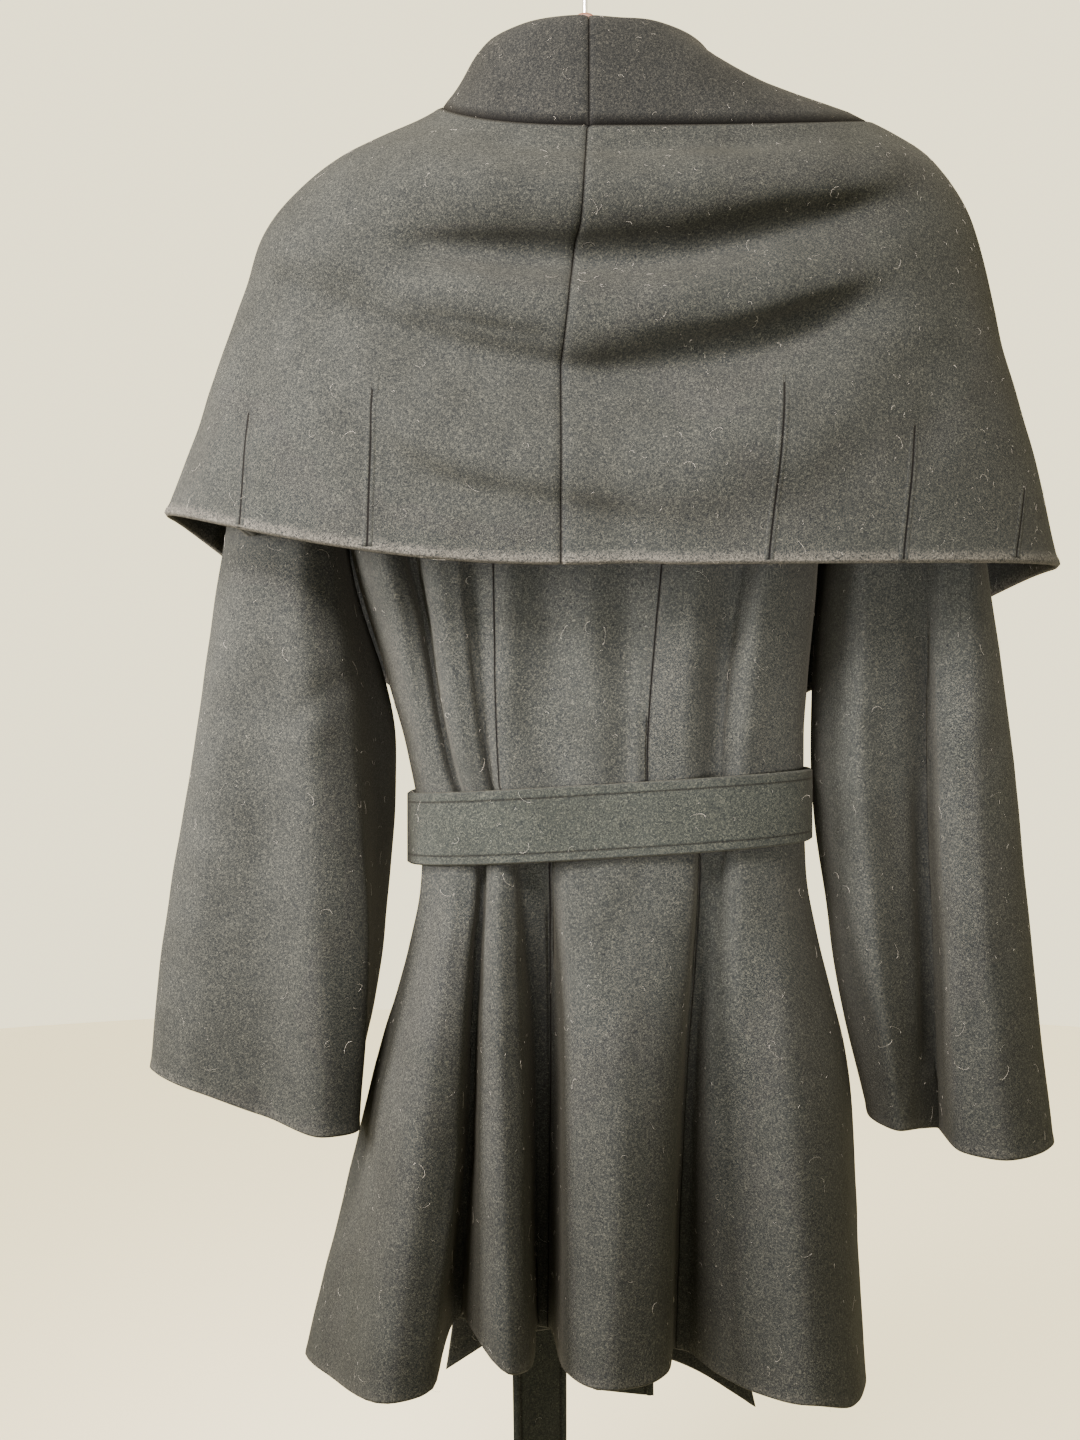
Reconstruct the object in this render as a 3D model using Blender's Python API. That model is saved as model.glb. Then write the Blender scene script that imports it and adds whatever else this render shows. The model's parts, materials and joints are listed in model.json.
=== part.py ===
"""A wool wrap coat with a cape collar, hanging on a plain wooden hanger.

The origin is inside the crown of the hanger's hook. +Z is up, the coat's back
faces +Y and the wearer's left is +X. Every cloth piece is a wall of even
thickness round a surface that is worked out from a short table of its folds.
Tables are in millimetres and the solids in metres.
"""
import math
from collections import namedtuple

import bmesh
import bpy
import numpy as np

MM = 0.001

# Cloth
CLOTH = 2.6 * MM
SEAM_GAP = 0.3 * MM
LAP = CLOTH + SEAM_GAP
BELT_THICK = 3.4 * MM
BELT_WIDTH = 45 * MM

# Heights of the coat body's levels
Z_SHOULDER_NECK = -118 * MM
Z_SHOULDER_TIP = -203 * MM
Z_CHEST = -300 * MM
Z_CAPE = -441 * MM
Z_WAIST = -584 * MM
Z_BELT = -631 * MM
Z_MID = -787 * MM
NECK_HALF = 70 * MM
SHOULDER_HALF = 188 * MM
SHOULDER_ROLL = 160 * MM
NECK_DIP = 27 * MM

# The oval that the belt pulls the waist into
WAIST_X = -16 * MM
WAIST_HALF = 130 * MM
WAIST_BACK = 79 * MM
WAIST_FRONT_UNDER = 80 * MM
WAIST_FRONT_OVER = 94 * MM
WAIST_SQUARE = 2.7

# Belt
BELT_Z = -606.5 * MM
BELT_TILT = -0.060
BELT_CLEAR = 4.6 * MM
BELT_END = 0.006
KNOT_X = 2 * MM
KNOT_HALF = 28 * MM
KNOT_DEPTH = 12 * MM
KNOT_FOOT = BELT_Z - 27 * MM
KNOT_FULL = 1.1
KNOT_PINCH = 0.22
KNOT_SQUARE = 0.18
KNOT_SLANT = 7 * MM

# Hanger
HANGER_THICK = 14 * MM
HANGER_TOP = -64 * MM
HANGER_TIP = 184 * MM
HANGER_UNDER_MIDDLE = -152 * MM
HANGER_UNDER_TIP = -222 * MM
HANGER_ROUND = 2 * MM
HANGER_DROP = 1.6 * MM
HANGER_SADDLE = NECK_HALF + 5 * MM
HANGER_NECK = 28 * MM
SHOULDER_COSINE = 0.81
WIRE = 1.8 * MM
HOOK_INNER = 19 * MM
HOOK_STEM = 12 * MM
HOOK_SWEEP = (-60, 205)

# A fold of the coat body: where it ends at the top (None is the shoulder
# seam), then x at six levels, y at six levels and the height of its hem.
# Levels: top, cape edge, belt top, belt bottom, mid skirt and hem for x, and
# chest, cape edge, inset at belt top and bottom, mid skirt and hem for y.
Fold = namedtuple("Fold", "name top x y hem")

FRONT_UNDER = [
    Fold("under_edge", None, (70, 14, -30, -32, -75, -125), (-52, -77, 0, 0, -70, -80), -1042),
    Fold("under_crest_1", None, (86, 34, -10, -12, -48, -85), (-60, -78, 0, 0, -82, -94), -1022),
    Fold("under_trough_1", None, (102, 54, 8, 6, -15, -45), (-66, -78, 3, 4, -68, -75), -1000),
    Fold("under_crest_2", None, (120, 78, 32, 30, 22, 0), (-70, -79, 0, 0, -86, -94), -990),
    Fold("under_trough_2", None, (140, 98, 56, 53, 56, 45), (-72, -77, 4, 5, -72, -74), -986),
    Fold("under_crest_3", None, (163, 118, 76, 73, 85, 95), (-72, -72, 0, 0, -88, -102), -986),
    Fold("tip_front_left", None, (188, 131, 90, 87, 110, 128), (-69, -58, 3, 4, -80, -86), -983),
    Fold("armhole_front_left", -266, (190, 143, 101, 97, 130, 158), (-54, -38, 0, 0, -68, -85), -981),
    Fold("underarm_front_left", -330, (190, 150, 109, 104, 137, 180), (-36, -14, 0, 0, -38, -50), -979),
]
BACK = [
    Fold("side_left", -360, (190, 154, 113.5, 107, 144, 190), (0, 12, 0, 0, -5, -12), -976),
    Fold("underarm_back_left", -330, (190, 144, 106, 97, 131, 164), (36, 48, 0, 0, 50, 50), -970),
    Fold("crest_a", -266, (190, 129, 97, 83, 102, 123), (54, 70, 0, 0, 98, 115), -958),
    Fold("tip_back_left", None, (188, 120, 90, 75, 83, 98), (70, 67, 2, 2, 90, 98), -957),
    Fold("trough_a", None, (165, 115, 86, 71, 78, 90), (74, 54, 9, 9, 56, 18), -946),
    Fold("trough_b", None, (150, 110, 82, 66, 73, 82), (74, 54, 9, 9, 54, 16), -940),
    Fold("edge_b", None, (134, 105, 79, 62, 69, 75), (74, 66, 2, 2, 78, 62), -931),
    Fold("crest_b", None, (115, 94, 73, 57, 55, 50), (74, 74, 0, 0, 100, 115), -940),
    Fold("edge_b2", None, (98, 84, 67, 51, 42, 38), (74, 74, 2, 3, 86, 96), -945),
    Fold("trough_bc", None, (84, 74, 62, 43, 35, 33), (74, 69, 9, 14, 24, 2), -953),
    Fold("seam_left", None, (70, 60, 56, 24, 23, 24), (74, 73, 2, 14, 24, 4), -954),
    Fold("edge_c", None, (52, 50, 48, 12, 10, 16), (75, 76, 1, 3, 86, 82), -950),
    Fold("hollow_c", None, (30, 27, 27, -6, -4, 2), (75, 70, 4, 1, 103, 107), -951),
    Fold("crest_c", -145, (0, -1, -2, -26, -20, -13), (77, 79, 0, 0, 110, 116), -950),
    Fold("hollow_d", None, (-30, -25, -23, -47, -40, -34), (75, 73, 3, 1, 103, 106), -951),
    Fold("edge_d", None, (-50, -38, -31, -65, -54, -49), (75, 75, 1, 3, 86, 84), -952),
    Fold("seam_right", None, (-70, -47, -37, -71, -63, -58), (74, 77, 2, 11, 46, 24), -960),
    Fold("trough_d", None, (-84, -57, -47, -77, -69, -67), (74, 79, 1, 12, 45, 20), -963),
    Fold("slope_e", None, (-105, -69, -60, -86, -78, -84), (74, 80, 0, 11, 64, 52), -965),
    Fold("trough_e", None, (-148, -98, -83, -95, -97, -105), (74, 61, 11, 1, 80, 80), -966),
    Fold("tip_back_right", None, (-188, -114, -97, -112, -124, -136), (70, 74, 0, 0, 92, 102), -965),
    Fold("armhole_back_right", -266, (-190, -143, -134, -132, -156, -166), (54, 45, 0, 0, 65, 80), -975),
    Fold("underarm_back_right", -330, (-190, -151, -142, -141, -170, -178), (34, 28, 0, 0, 35, 50), -978),
    Fold("side_right", -360, (-190, -155, -145, -145, -177, -185), (0, 8, 0, 0, 5, 15), -981),
]
FRONT_OVER = [
    Fold("underarm_front_right", -330, (-190, -152, -143, -142, -172, -186), (-36, -20, 0, 0, -35, -35), -984),
    Fold("armhole_front_right", -266, (-190, -143, -135, -133, -160, -178), (-54, -46, 0, 0, -70, -80), -988),
    Fold("tip_front_right", None, (-188, -130, -121, -120, -138, -155), (-69, -66, 2, 3, -88, -98), -992),
    Fold("over_crest_3", None, (-165, -114, -105, -105, -118, -130), (-72, -79, 0, 0, -100, -116), -1000),
    Fold("over_trough_2", None, (-142, -98, -85, -85, -90, -100), (-72, -86, 4, 5, -93, -100), -998),
    Fold("over_crest_2", None, (-122, -82, -62, -60, -60, -62), (-73, -93, 0, 0, -108, -121), -992),
    Fold("over_trough_1", None, (-104, -62, -38, -34, -25, -20), (-72, -96, 3, 4, -99, -106), -988),
    Fold("over_crest_1", None, (-87, -43, -5, -2, 22, 38), (-66, -97, 0, 0, -113, -126), -998),
    Fold("over_edge", None, (-70, -23, 30, 32, 65, 100), (-54, -97, 0, 0, -106, -119), -1030),
]
BODY_FOLDS = FRONT_UNDER + BACK + FRONT_OVER
FOLD_AT = {fold.name: i for i, fold in enumerate(BODY_FOLDS)}

# Panels, named by the folds at which they are cut
PANELS = [
    ("front_left", "under_edge", "side_left"),
    ("back_side_left", "side_left", "seam_left"),
    ("back_centre", "seam_left", "seam_right"),
    ("back_side_right", "seam_right", "side_right"),
    ("front_right", "side_right", "over_edge"),
]

# A crease down a sleeve: how far round the armhole it starts (0 at the
# shoulder tip, by way of the back, 0.5 at the underarm), then x and y at the
# cape edge, elbow, forearm and cuff, and the height of its cuff.
Z_ELBOW = -556 * MM
Z_FOREARM = -687 * MM
SLEEVE_HEAD = 3 * MM
Crease = namedtuple("Crease", "name start x y cuff")

SLEEVE_LEFT = [
    Crease("outer", 0.00, (248, 264, 286, 297), (-5, -5, -8, -10), -780),
    Crease("back_outer", 0.13, (229, 239, 254, 257), (36, 37, 36, 31), -788),
    Crease("dent", 0.24, (206, 201, 209, 214), (51, 50, 47, 38), -801),
    Crease("back_crest", 0.33, (187, 178, 173, 171), (55, 60, 64, 62), -810),
    Crease("inner_back", 0.42, (167, 155, 143, 150), (40, 46, 50, 45), -810),
    Crease("underarm", 0.50, (163, 145, 143, 160), (2, 4, 6, 5), -814),
    Crease("inner_front", 0.60, (164, 134, 141, 166), (-42, -45, -45, -42), -819),
    Crease("front_crease", 0.74, (196, 190, 200, 220), (-57, -62, -66, -66), -804),
    Crease("front_outer", 0.88, (232, 247, 268, 282), (-44, -46, -50, -50), -788),
]
SLEEVE_RIGHT = [
    Crease("outer", 0.00, (-268, -284, -298, -310), (10, 10, 12, 20), -823),
    Crease("lobe_outer", 0.10, (-247, -250, -256, -269), (50, 55, 60, 60), -825),
    Crease("ridge", 0.17, (-231, -233, -237, -242), (50, 48, 46, 45), -822),
    Crease("valley", 0.24, (-222, -226, -232, -239), (38, 26, 16, 6), -818),
    Crease("slope", 0.31, (-203, -203, -212, -224), (48, 44, 36, 22), -814),
    Crease("lobe_inner", 0.38, (-180, -176, -186, -204), (52, 56, 54, 45), -810),
    Crease("underarm", 0.50, (-164, -155, -168, -193), (4, 6, 6, 5), -811),
    Crease("inner_front", 0.60, (-170, -166, -182, -208), (-44, -44, -45, -45), -806),
    Crease("front_crease", 0.74, (-205, -215, -235, -255), (-60, -64, -68, -68), -810),
    Crease("front_outer", 0.88, (-250, -266, -284, -298), (-44, -46, -46, -42), -816),
]

# A line of the collar that runs right round it, from one front end by way of
# the back to the other: how far it reaches to each side, back and front, its
# height there, and how far its ends pass the middle.
Ring = namedtuple("Ring", "name left right back front z_left z_right z_back z_front past level")

COLLAR_RINGS = [
    Ring("roll", 67, 80, 76, 86, -96, -99, -99, -546, -38, 1.0),
    Ring("seam", 96, 190, 89, 96, -127, -138, -171, -556, -22, 1.0),
    Ring("yoke", 163, 231, 111, 102, -164, -166, -203, -562, -4, 1.2),
    Ring("shoulder", 211, 259, 119, 108, -211, -211, -243, -567, 12, 1.4),
    Ring("belly", 238, 279, 126, 112, -285, -298, -303, -571, 26, 1.6),
    Ring("lower", 259, 298, 129, 114, -347, -362, -372, -574, 39, 1.9),
    Ring("edge", 281, 316, 122, 116, -405, -440, -447, -577, 52, 2.2),
]
LAPEL_END_LEFT = 84.6 * MM
LAPEL_END_RIGHT = 101 * MM
LAPEL_OVER = 15 * MM
BAND_END = 0.47
NECK_LAP = 5 * MM
EDGE_LAP = 2 * MM
STAND_RISE = 9 * MM
FRONT_START = 0.6
FRONT_BLEND = 0.2
NECK_SLACK = 1.35
LAPEL_SLACK = 0.35
LAPEL_TAPER = (0.85, 0.95)
LAPEL_LOW = -552 * MM
NECK_SHELF = 25 * MM
UPRIGHT_BLEND = 0.06

# A swag of the cape's back: a soft ridge (+) or trough (-) that hangs in a U
Swag = namedtuple("Swag", "name left low right width depth")

SWAGS = [
    Swag("ridge_1", (150, -202), (-5, -222), (-190, -192), 19, 7),
    Swag("trough_1", (130, -262), (-5, -270), (-190, -226), 18, -14),
    Swag("ridge_2", (190, -240), (-5, -296), (-175, -258), 18, 6),
    Swag("trough_2", (205, -274), (5, -345), (-165, -302), 20, -16),
    Swag("ridge_3", (185, -300), (-5, -398), (-160, -348), 30, 8),
    Swag("trough_3", (165, -330), (60, -408), (-30, -428), 17, -6),
]
SWAG_SAG = 0.9

# Where the centre back seam of the cape runs: height, and x left of the middle
CENTRE_SEAM = [(-440, 18), (-340, 18), (-300, 15), (-240, 6), (-171, 1)]
CENTRE_EASE = 90 * MM
SWAG_BEND = 1.9
SWAG_REACH = 1.3

# A hanging end of the belt: points of its middle line, of which the first is
# just under the knot, and how far it turns on its way down, in radians
Tail = namedtuple("Tail", "name spin points")

TAIL_TOP = KNOT_FOOT - 2 * SEAM_GAP
TAILS = [
    Tail("belt_tail_short", -0.25, [
        (-12, -108, None), (-21, -119, -690), (-27, -125, -760), (-30, -131, -850),
        (-32, -135, -950), (-33, -137, -1056)]),
    Tail("belt_tail_long", 0.55, [
        (14, -116, None), (21, -126, -690), (26, -132, -760), (29, -138, -860),
        (31, -143, -980), (30, -145, -1130)]),
]

# Grid steps
BODY_STEPS_ACROSS = 2
BODY_ROWS_TOP = 8
BODY_ROWS_CHEST = 4
BODY_ROWS_BELT = 1
BODY_ROWS_SKIRT = 7
SLEEVE_STEPS_ROUND = 2
SLEEVE_ROWS = 12
COLLAR_STEPS_ROUND = 52
BAND_STEPS = 8
CAPE_STEPS = 18


def spline(knots, values, at):
    """Smooth curve through the values that never swings past them."""
    knots = np.asarray(knots, float)
    values = np.asarray(values, float)
    at = np.clip(np.asarray(at, float), knots[0], knots[-1])
    step = np.diff(knots)
    rise = np.diff(values) / step
    slope = np.zeros(len(knots))
    slope[0], slope[-1] = rise[0], rise[-1]
    for i in range(1, len(knots) - 1):
        if rise[i - 1] * rise[i] > 0:
            before, after = step[i - 1], step[i]
            slope[i] = 3 * (before + after) / (
                (2 * after + before) / rise[i - 1] + (after + 2 * before) / rise[i])
    cell = np.clip(np.searchsorted(knots, at, side="right") - 1, 0, len(step) - 1)
    t = (at - knots[cell]) / step[cell]
    a, b = values[cell], values[cell + 1]
    da, db = slope[cell] * step[cell], slope[cell + 1] * step[cell]
    return (a * (1 + 2 * t) * (1 - t) ** 2 + da * t * (1 - t) ** 2
            + b * t * t * (3 - 2 * t) + db * t * t * (t - 1))


def through(points, fractions, closed=False):
    """Points on a smooth curve through the given ones, at index fractions."""
    points = np.asarray(points, float)
    pad = 3 if closed else 0
    if closed:
        points = np.vstack([points[-pad:], points, points[:pad + 1]])
    chord = np.sqrt(np.linalg.norm(np.diff(points, axis=0), axis=1) + 1e-9)
    knots = np.concatenate([[0], np.cumsum(chord)])
    at = np.interp(np.asarray(fractions) + pad, np.arange(len(points)), knots)
    return np.column_stack([spline(knots, points[:, axis], at) for axis in range(3)])


def shoulder_height(x):
    """Height of the shoulder line at a distance from the middle."""
    run = (abs(x) - NECK_HALF) / (SHOULDER_HALF - NECK_HALF)
    return Z_SHOULDER_NECK + (Z_SHOULDER_TIP - Z_SHOULDER_NECK) * min(max(run, -0.35), 1.0)


def waist_depth(x, front):
    """How far the waist oval lies from y = 0 at x."""
    reach = min(abs(x - WAIST_X) / WAIST_HALF, 1.0)
    return front * (1 - reach ** WAIST_SQUARE) ** (1 / WAIST_SQUARE)


def body_top(fold):
    """Height at which a fold's line ends: shoulder, neck or armhole."""
    if fold.top is not None:
        return fold.top * MM
    x = fold.x[0] * MM
    if abs(x) < NECK_HALF - MM and fold.y[0] > 0:
        rise = 1 - (x / NECK_HALF) ** 2
        return Z_SHOULDER_NECK - NECK_DIP * rise ** 0.6
    return shoulder_height(x)


def body_line(fold, side, heights):
    """Points of one fold's line at the given heights."""
    x_top, x_cape, x_waist, x_belt, x_mid, x_hem = [v * MM for v in fold.x]
    y_chest, y_cape, in_waist, in_belt, y_mid, y_hem = [v * MM for v in fold.y]
    front = {"under": -WAIST_FRONT_UNDER, "over": -WAIST_FRONT_OVER}.get(side)
    depth = WAIST_BACK if front is None else front
    sign = 1 if front is None else -1
    y_waist = waist_depth(x_waist, depth) - sign * in_waist
    y_belt = waist_depth(x_belt, depth) - sign * in_belt
    levels = [-fold.hem * MM, -Z_MID, -Z_BELT, -Z_WAIST, -Z_CAPE, -Z_CHEST]
    down = -np.asarray(heights)
    z_ridge = shoulder_height(x_top)
    x_chest = x_top * 0.75 + x_cape * 0.25
    x = spline([-z_ridge] + levels[::-1], [x_top, x_chest, x_cape, x_waist, x_belt, x_mid, x_hem], down)
    y = spline(levels[::-1], [y_chest, y_cape, y_waist, y_belt, y_mid, y_hem], down)
    lift = np.clip((z_ridge - np.asarray(heights)) / SHOULDER_ROLL, 0, 1)
    turn = np.arccos(1 - lift)
    y = y * np.sin(turn)
    return np.column_stack([x, y, heights])


def body_heights(fold):
    """Heights of the grid's rows down one fold."""
    top = body_top(fold)
    z_ridge = shoulder_height(fold.x[0] * MM)
    turn_top = math.acos(1 - min(max((z_ridge - top) / SHOULDER_ROLL, 0), 1))
    steps = np.linspace(0, 1, BODY_ROWS_TOP + 1)[:-1]
    if turn_top < 1.2:
        arc_end = z_ridge - SHOULDER_ROLL
        even = turn_top + (math.pi / 2 - turn_top) * np.minimum(steps * 1.6, 1) ** 1.4
        arc = z_ridge - SHOULDER_ROLL * (1 - np.cos(even))
        fall = arc_end + (Z_CAPE - arc_end) * np.maximum(steps * 1.6 - 1, 0) / 0.6
        upper = np.where(steps * 1.6 < 1, arc, fall)
    else:
        upper = top + (Z_CAPE - top) * steps
    return np.concatenate([
        upper,
        np.linspace(Z_CAPE, Z_WAIST, BODY_ROWS_CHEST + 1)[:-1],
        np.linspace(Z_WAIST, Z_BELT, BODY_ROWS_BELT + 1)[:-1],
        np.linspace(Z_BELT, fold.hem * MM, BODY_ROWS_SKIRT + 1),
    ])


def fold_side(index):
    """Which layer of the coat a fold belongs to."""
    if index < len(FRONT_UNDER):
        return "under"
    if index < len(FRONT_UNDER) + len(BACK):
        return "back"
    return "over"


def body_grid():
    """The whole coat body as one grid: rows down, columns across its folds."""
    lines = [body_line(fold, fold_side(i), body_heights(fold)) for i, fold in enumerate(BODY_FOLDS)]
    lines = np.array(lines)
    fractions = np.arange(0, len(BODY_FOLDS) - 1 + 1e-6, 1 / BODY_STEPS_ACROSS)
    grid = np.array([through(lines[:, row], fractions) for row in range(lines.shape[1])])
    edge = 0.6 * SEAM_GAP
    tops = grid[0]
    first_back = len(FRONT_UNDER) * BODY_STEPS_ACROSS
    last_back = (len(FRONT_UNDER) + len(BACK) - 1) * BODY_STEPS_ACROSS
    tops[first_back:last_back + 1, 1] = np.maximum(tops[first_back:last_back + 1, 1], edge)
    tops[:first_back, 1] = np.minimum(tops[:first_back, 1], -edge)
    tops[last_back + 1:, 1] = np.minimum(tops[last_back + 1:, 1], -edge)
    return grid


def unit(vectors):
    """The vectors at length one."""
    length = np.linalg.norm(vectors, axis=-1, keepdims=True)
    return vectors / np.maximum(length, 1e-12)


def grid_normals(grid, wrap=False):
    """Normal at each point of a grid, on the right of its rows and columns."""
    down = np.gradient(grid, axis=0)
    if wrap:
        ring = np.concatenate([grid[:, -1:], grid, grid[:, :1]], axis=1)
        across = np.gradient(ring, axis=1)[:, 1:-1]
    else:
        across = np.gradient(grid, axis=1)
    return unit(np.cross(across, down))


def trimmed(grid, first, last):
    """Columns first to last of a grid, drawn in by half a seam's gap."""
    part = grid[:, first:last + 1].copy()
    for edge, inner in ((0, 1), (-1, -2)):
        part[:, edge] += unit(part[:, inner] - part[:, edge]) * SEAM_GAP * 0.6
    return part


def new_object(name, bm, colour):
    """A mesh object in the coat's collection, with its own material."""
    mesh = bpy.data.meshes.new(name)
    bmesh.ops.recalc_face_normals(bm, faces=bm.faces)
    bm.to_mesh(mesh)
    bm.free()
    mesh.shade_smooth()
    mesh.set_sharp_from_angle(angle=math.radians(50))
    obj = bpy.data.objects.new(name, mesh)
    COAT.objects.link(obj)
    finish(obj, *colour)
    return obj


def finish(obj, colour, roughness, metallic):
    """Give an object its own Principled material."""
    material = bpy.data.materials.new(obj.name)
    material.use_nodes = True
    shader = material.node_tree.nodes["Principled BSDF"]
    shader.inputs["Base Color"].default_value = (*colour, 1)
    shader.inputs["Roughness"].default_value = roughness
    shader.inputs["Metallic"].default_value = metallic
    obj.data.materials.append(material)


def wall(name, grid, normals, thickness=CLOTH, wrap=False, colour=None):
    """A closed wall of even thickness, centred on a grid of points."""
    bm = bmesh.new()
    rows, columns = grid.shape[:2]
    sides = []
    for offset in (thickness / 2, -thickness / 2):
        points = grid + normals * offset
        sides.append([[bm.verts.new(points[r, c]) for c in range(columns)] for r in range(rows)])
    outer, inner = sides
    cells = columns if wrap else columns - 1
    for r in range(rows - 1):
        for c in range(cells):
            d = (c + 1) % columns
            bm.faces.new((outer[r][c], outer[r][d], outer[r + 1][d], outer[r + 1][c]))
            bm.faces.new((inner[r][c], inner[r + 1][c], inner[r + 1][d], inner[r][d]))
    for c in range(cells):
        d = (c + 1) % columns
        bm.faces.new((outer[0][c], inner[0][c], inner[0][d], outer[0][d]))
        bm.faces.new((outer[-1][c], outer[-1][d], inner[-1][d], inner[-1][c]))
    if not wrap:
        for r in range(rows - 1):
            bm.faces.new((outer[r][0], outer[r + 1][0], inner[r + 1][0], inner[r][0]))
            bm.faces.new((outer[r][-1], inner[r][-1], inner[r + 1][-1], outer[r + 1][-1]))
    return new_object(name, bm, colour or WOOL)


def make_body(grid, normals):
    """The five panels of the coat body."""
    for name, first, last in PANELS:
        a, b = FOLD_AT[first] * BODY_STEPS_ACROSS, FOLD_AT[last] * BODY_STEPS_ACROSS
        wall(name, trimmed(grid, a, b), normals[:, a:b + 1])


def armhole(grid, normals, side):
    """Loop of points round an armhole from the shoulder tip by way of the back,
    with the body's outward normal and its downward direction at each."""
    ends = [FOLD_AT[f"tip_{part}_{side}"] * BODY_STEPS_ACROSS for part in ("back", "front")]
    step = 1 if ends[1] > ends[0] else -1
    columns = list(range(ends[0], ends[1] + step, step))
    loop = grid[0, columns]
    down = unit(grid[1, columns] - grid[0, columns])
    return loop, normals[0, columns], down


def sleeve_grid(creases, body, body_normals, side):
    """A sleeve as a grid: rows from the armhole down, columns round it."""
    loop, outward, down = armhole(body, body_normals, side)
    middle = loop.mean(axis=0)
    facing = np.sign(np.sum(outward * (loop - middle + [0.3 * np.sign(middle[0]), 0, 0]), axis=1))
    outward = outward * facing[:, None]
    start = loop + outward * LAP * 1.05 + down * SLEEVE_HEAD
    length = np.concatenate([[0], np.cumsum(np.linalg.norm(np.diff(start, axis=0), axis=1))])
    length /= length[-1]
    levels = [Z_CAPE, Z_ELBOW, Z_FOREARM]
    rows = []
    for crease in creases:
        top = [np.interp(crease.start, length, start[:, axis]) for axis in range(3)]
        knots = [top]
        for x, y, z in zip(crease.x, crease.y, levels + [crease.cuff * MM]):
            knots.append([x * MM, y * MM, z])
        rows.append(through(knots, np.concatenate([
            np.linspace(0, 1, 5)[:-1], np.linspace(1, 4, SLEEVE_ROWS - 3)])))
    rows = np.array(rows)
    fractions = np.arange(0, len(creases) - 1e-6, 1 / SLEEVE_STEPS_ROUND)
    grid = np.array([through(rows[:, row], fractions, closed=True) for row in range(rows.shape[1])])
    starts = [crease.start for crease in creases] + [1.0]
    around = np.interp(fractions, range(len(starts)), starts)
    grid[0] = np.column_stack([np.interp(around, length, start[:, axis]) for axis in range(3)])
    return grid


def ring_points(ring, turns):
    """Points of a collar ring. turns runs from -1 at the right front end by
    way of 0 at the centre back to 1 at the left front end."""
    points = []
    for turn in turns:
        left = turn > 0
        side = (ring.left if left else ring.right) * MM
        z_side = (ring.z_left if left else ring.z_right) * MM
        sign = 1 if left else -1
        angle = abs(turn) * math.pi
        if angle <= math.pi / 2:
            x = side * math.sin(angle) ** 0.9
            y = ring.back * MM * math.cos(angle) ** 0.85
            z = z_side + (ring.z_back * MM - z_side) * math.cos(angle) ** ring.level
        else:
            angle -= math.pi / 2
            end = ring.past * MM
            x = end + (side - end) * math.cos(angle) ** (0.73 + 3.3 * end)
            y = -(ring.front * MM + (0 if left else LAPEL_OVER)) * math.sin(angle) ** 0.8
            flat = min(max((angle - 1.2) / 0.3, 0), 1)
            flat = flat * flat * (3 - 2 * flat)
            y = y * (1 - flat) - (LAPEL_END_LEFT if left else LAPEL_END_RIGHT) * flat
            z = z_side + (ring.z_front * MM - z_side) * (1 - math.cos(angle))
        points.append((sign * x, y, z))
    return np.array(points)


def neck_base(turns, body):
    """Lower edge of the collar, just inside the neck and the front edges."""
    first, last = [FOLD_AT[name] * BODY_STEPS_ACROSS for name in ("seam_left", "seam_right")]
    neck = body[0, first:last + 1][::-1].copy()
    run = unit(np.gradient(neck, axis=0) * [1, 1, 0])
    neck += np.column_stack([-run[:, 1], run[:, 0], 0 * run[:, 0]]) * -LAP * NECK_SLACK
    neck[:, 2] -= NECK_LAP * np.clip(neck[:, 1] / NECK_SHELF, 0.3, 1)
    along = np.linspace(-0.5, 0.5, len(neck))
    points = []
    for turn in turns:
        if abs(turn) <= 0.5:
            point = np.array([np.interp(turn, along, neck[:, axis]) for axis in range(3)])
        else:
            edge = body[:, 0] if turn > 0 else body[:, -1]
            sink = 1 - math.cos((abs(turn) - 0.5) * math.pi)
            z = neck[0, 2] + (LAPEL_LOW - neck[0, 2]) * sink
            point = np.array([np.interp(-z, -edge[:, 2], edge[:, axis]) for axis in range(3)])
            blend = min(max((abs(turn) - FRONT_START) / FRONT_BLEND, 0), 1)
            point[0] += math.copysign(1, turn) * (EDGE_LAP * blend - LAP * NECK_SLACK * (1 - blend))
            slack = NECK_SLACK + np.interp(abs(turn), LAPEL_TAPER, (LAPEL_SLACK, 0))
            point[1] += LAP * slack * math.sqrt(blend)
            point[2] = z
        points.append(point)
    return np.array(points)


def swag_shift(points):
    """How far the swags move points of the cape's back along their normals."""
    shift = np.zeros(points.shape[:-1])
    x, y, z = points[..., 0], points[..., 1], points[..., 2]
    for swag in SWAGS:
        (x_l, z_l), (x_m, z_m), (x_r, z_r) = [(a * MM, b * MM) for a, b in (swag.left, swag.low, swag.right)]
        run = np.where(x > x_m, (x - x_m) / (x_l - x_m), (x - x_m) / (x_r - x_m))
        end = np.where(x > x_m, z_l, z_r)
        reach = np.clip(run, 0, SWAG_REACH)
        centre = z_m + (end - z_m) * reach ** SWAG_BEND
        width = np.where(x > x_m, x_l - x_m, x_m - x_r)
        slope = SWAG_BEND * (end - z_m) * reach ** (SWAG_BEND - 1) / width
        near = (z - centre) / np.hypot(1, slope)
        fade = np.clip(1.25 - run, 0, 0.5) * 2
        fade = fade * fade * (3 - 2 * fade)
        inside = np.clip(y / (40 * MM), 0, 1)
        shift += swag.depth * MM * fade * inside * np.exp(-(near / (swag.width * MM)) ** 2)
    return shift


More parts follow.
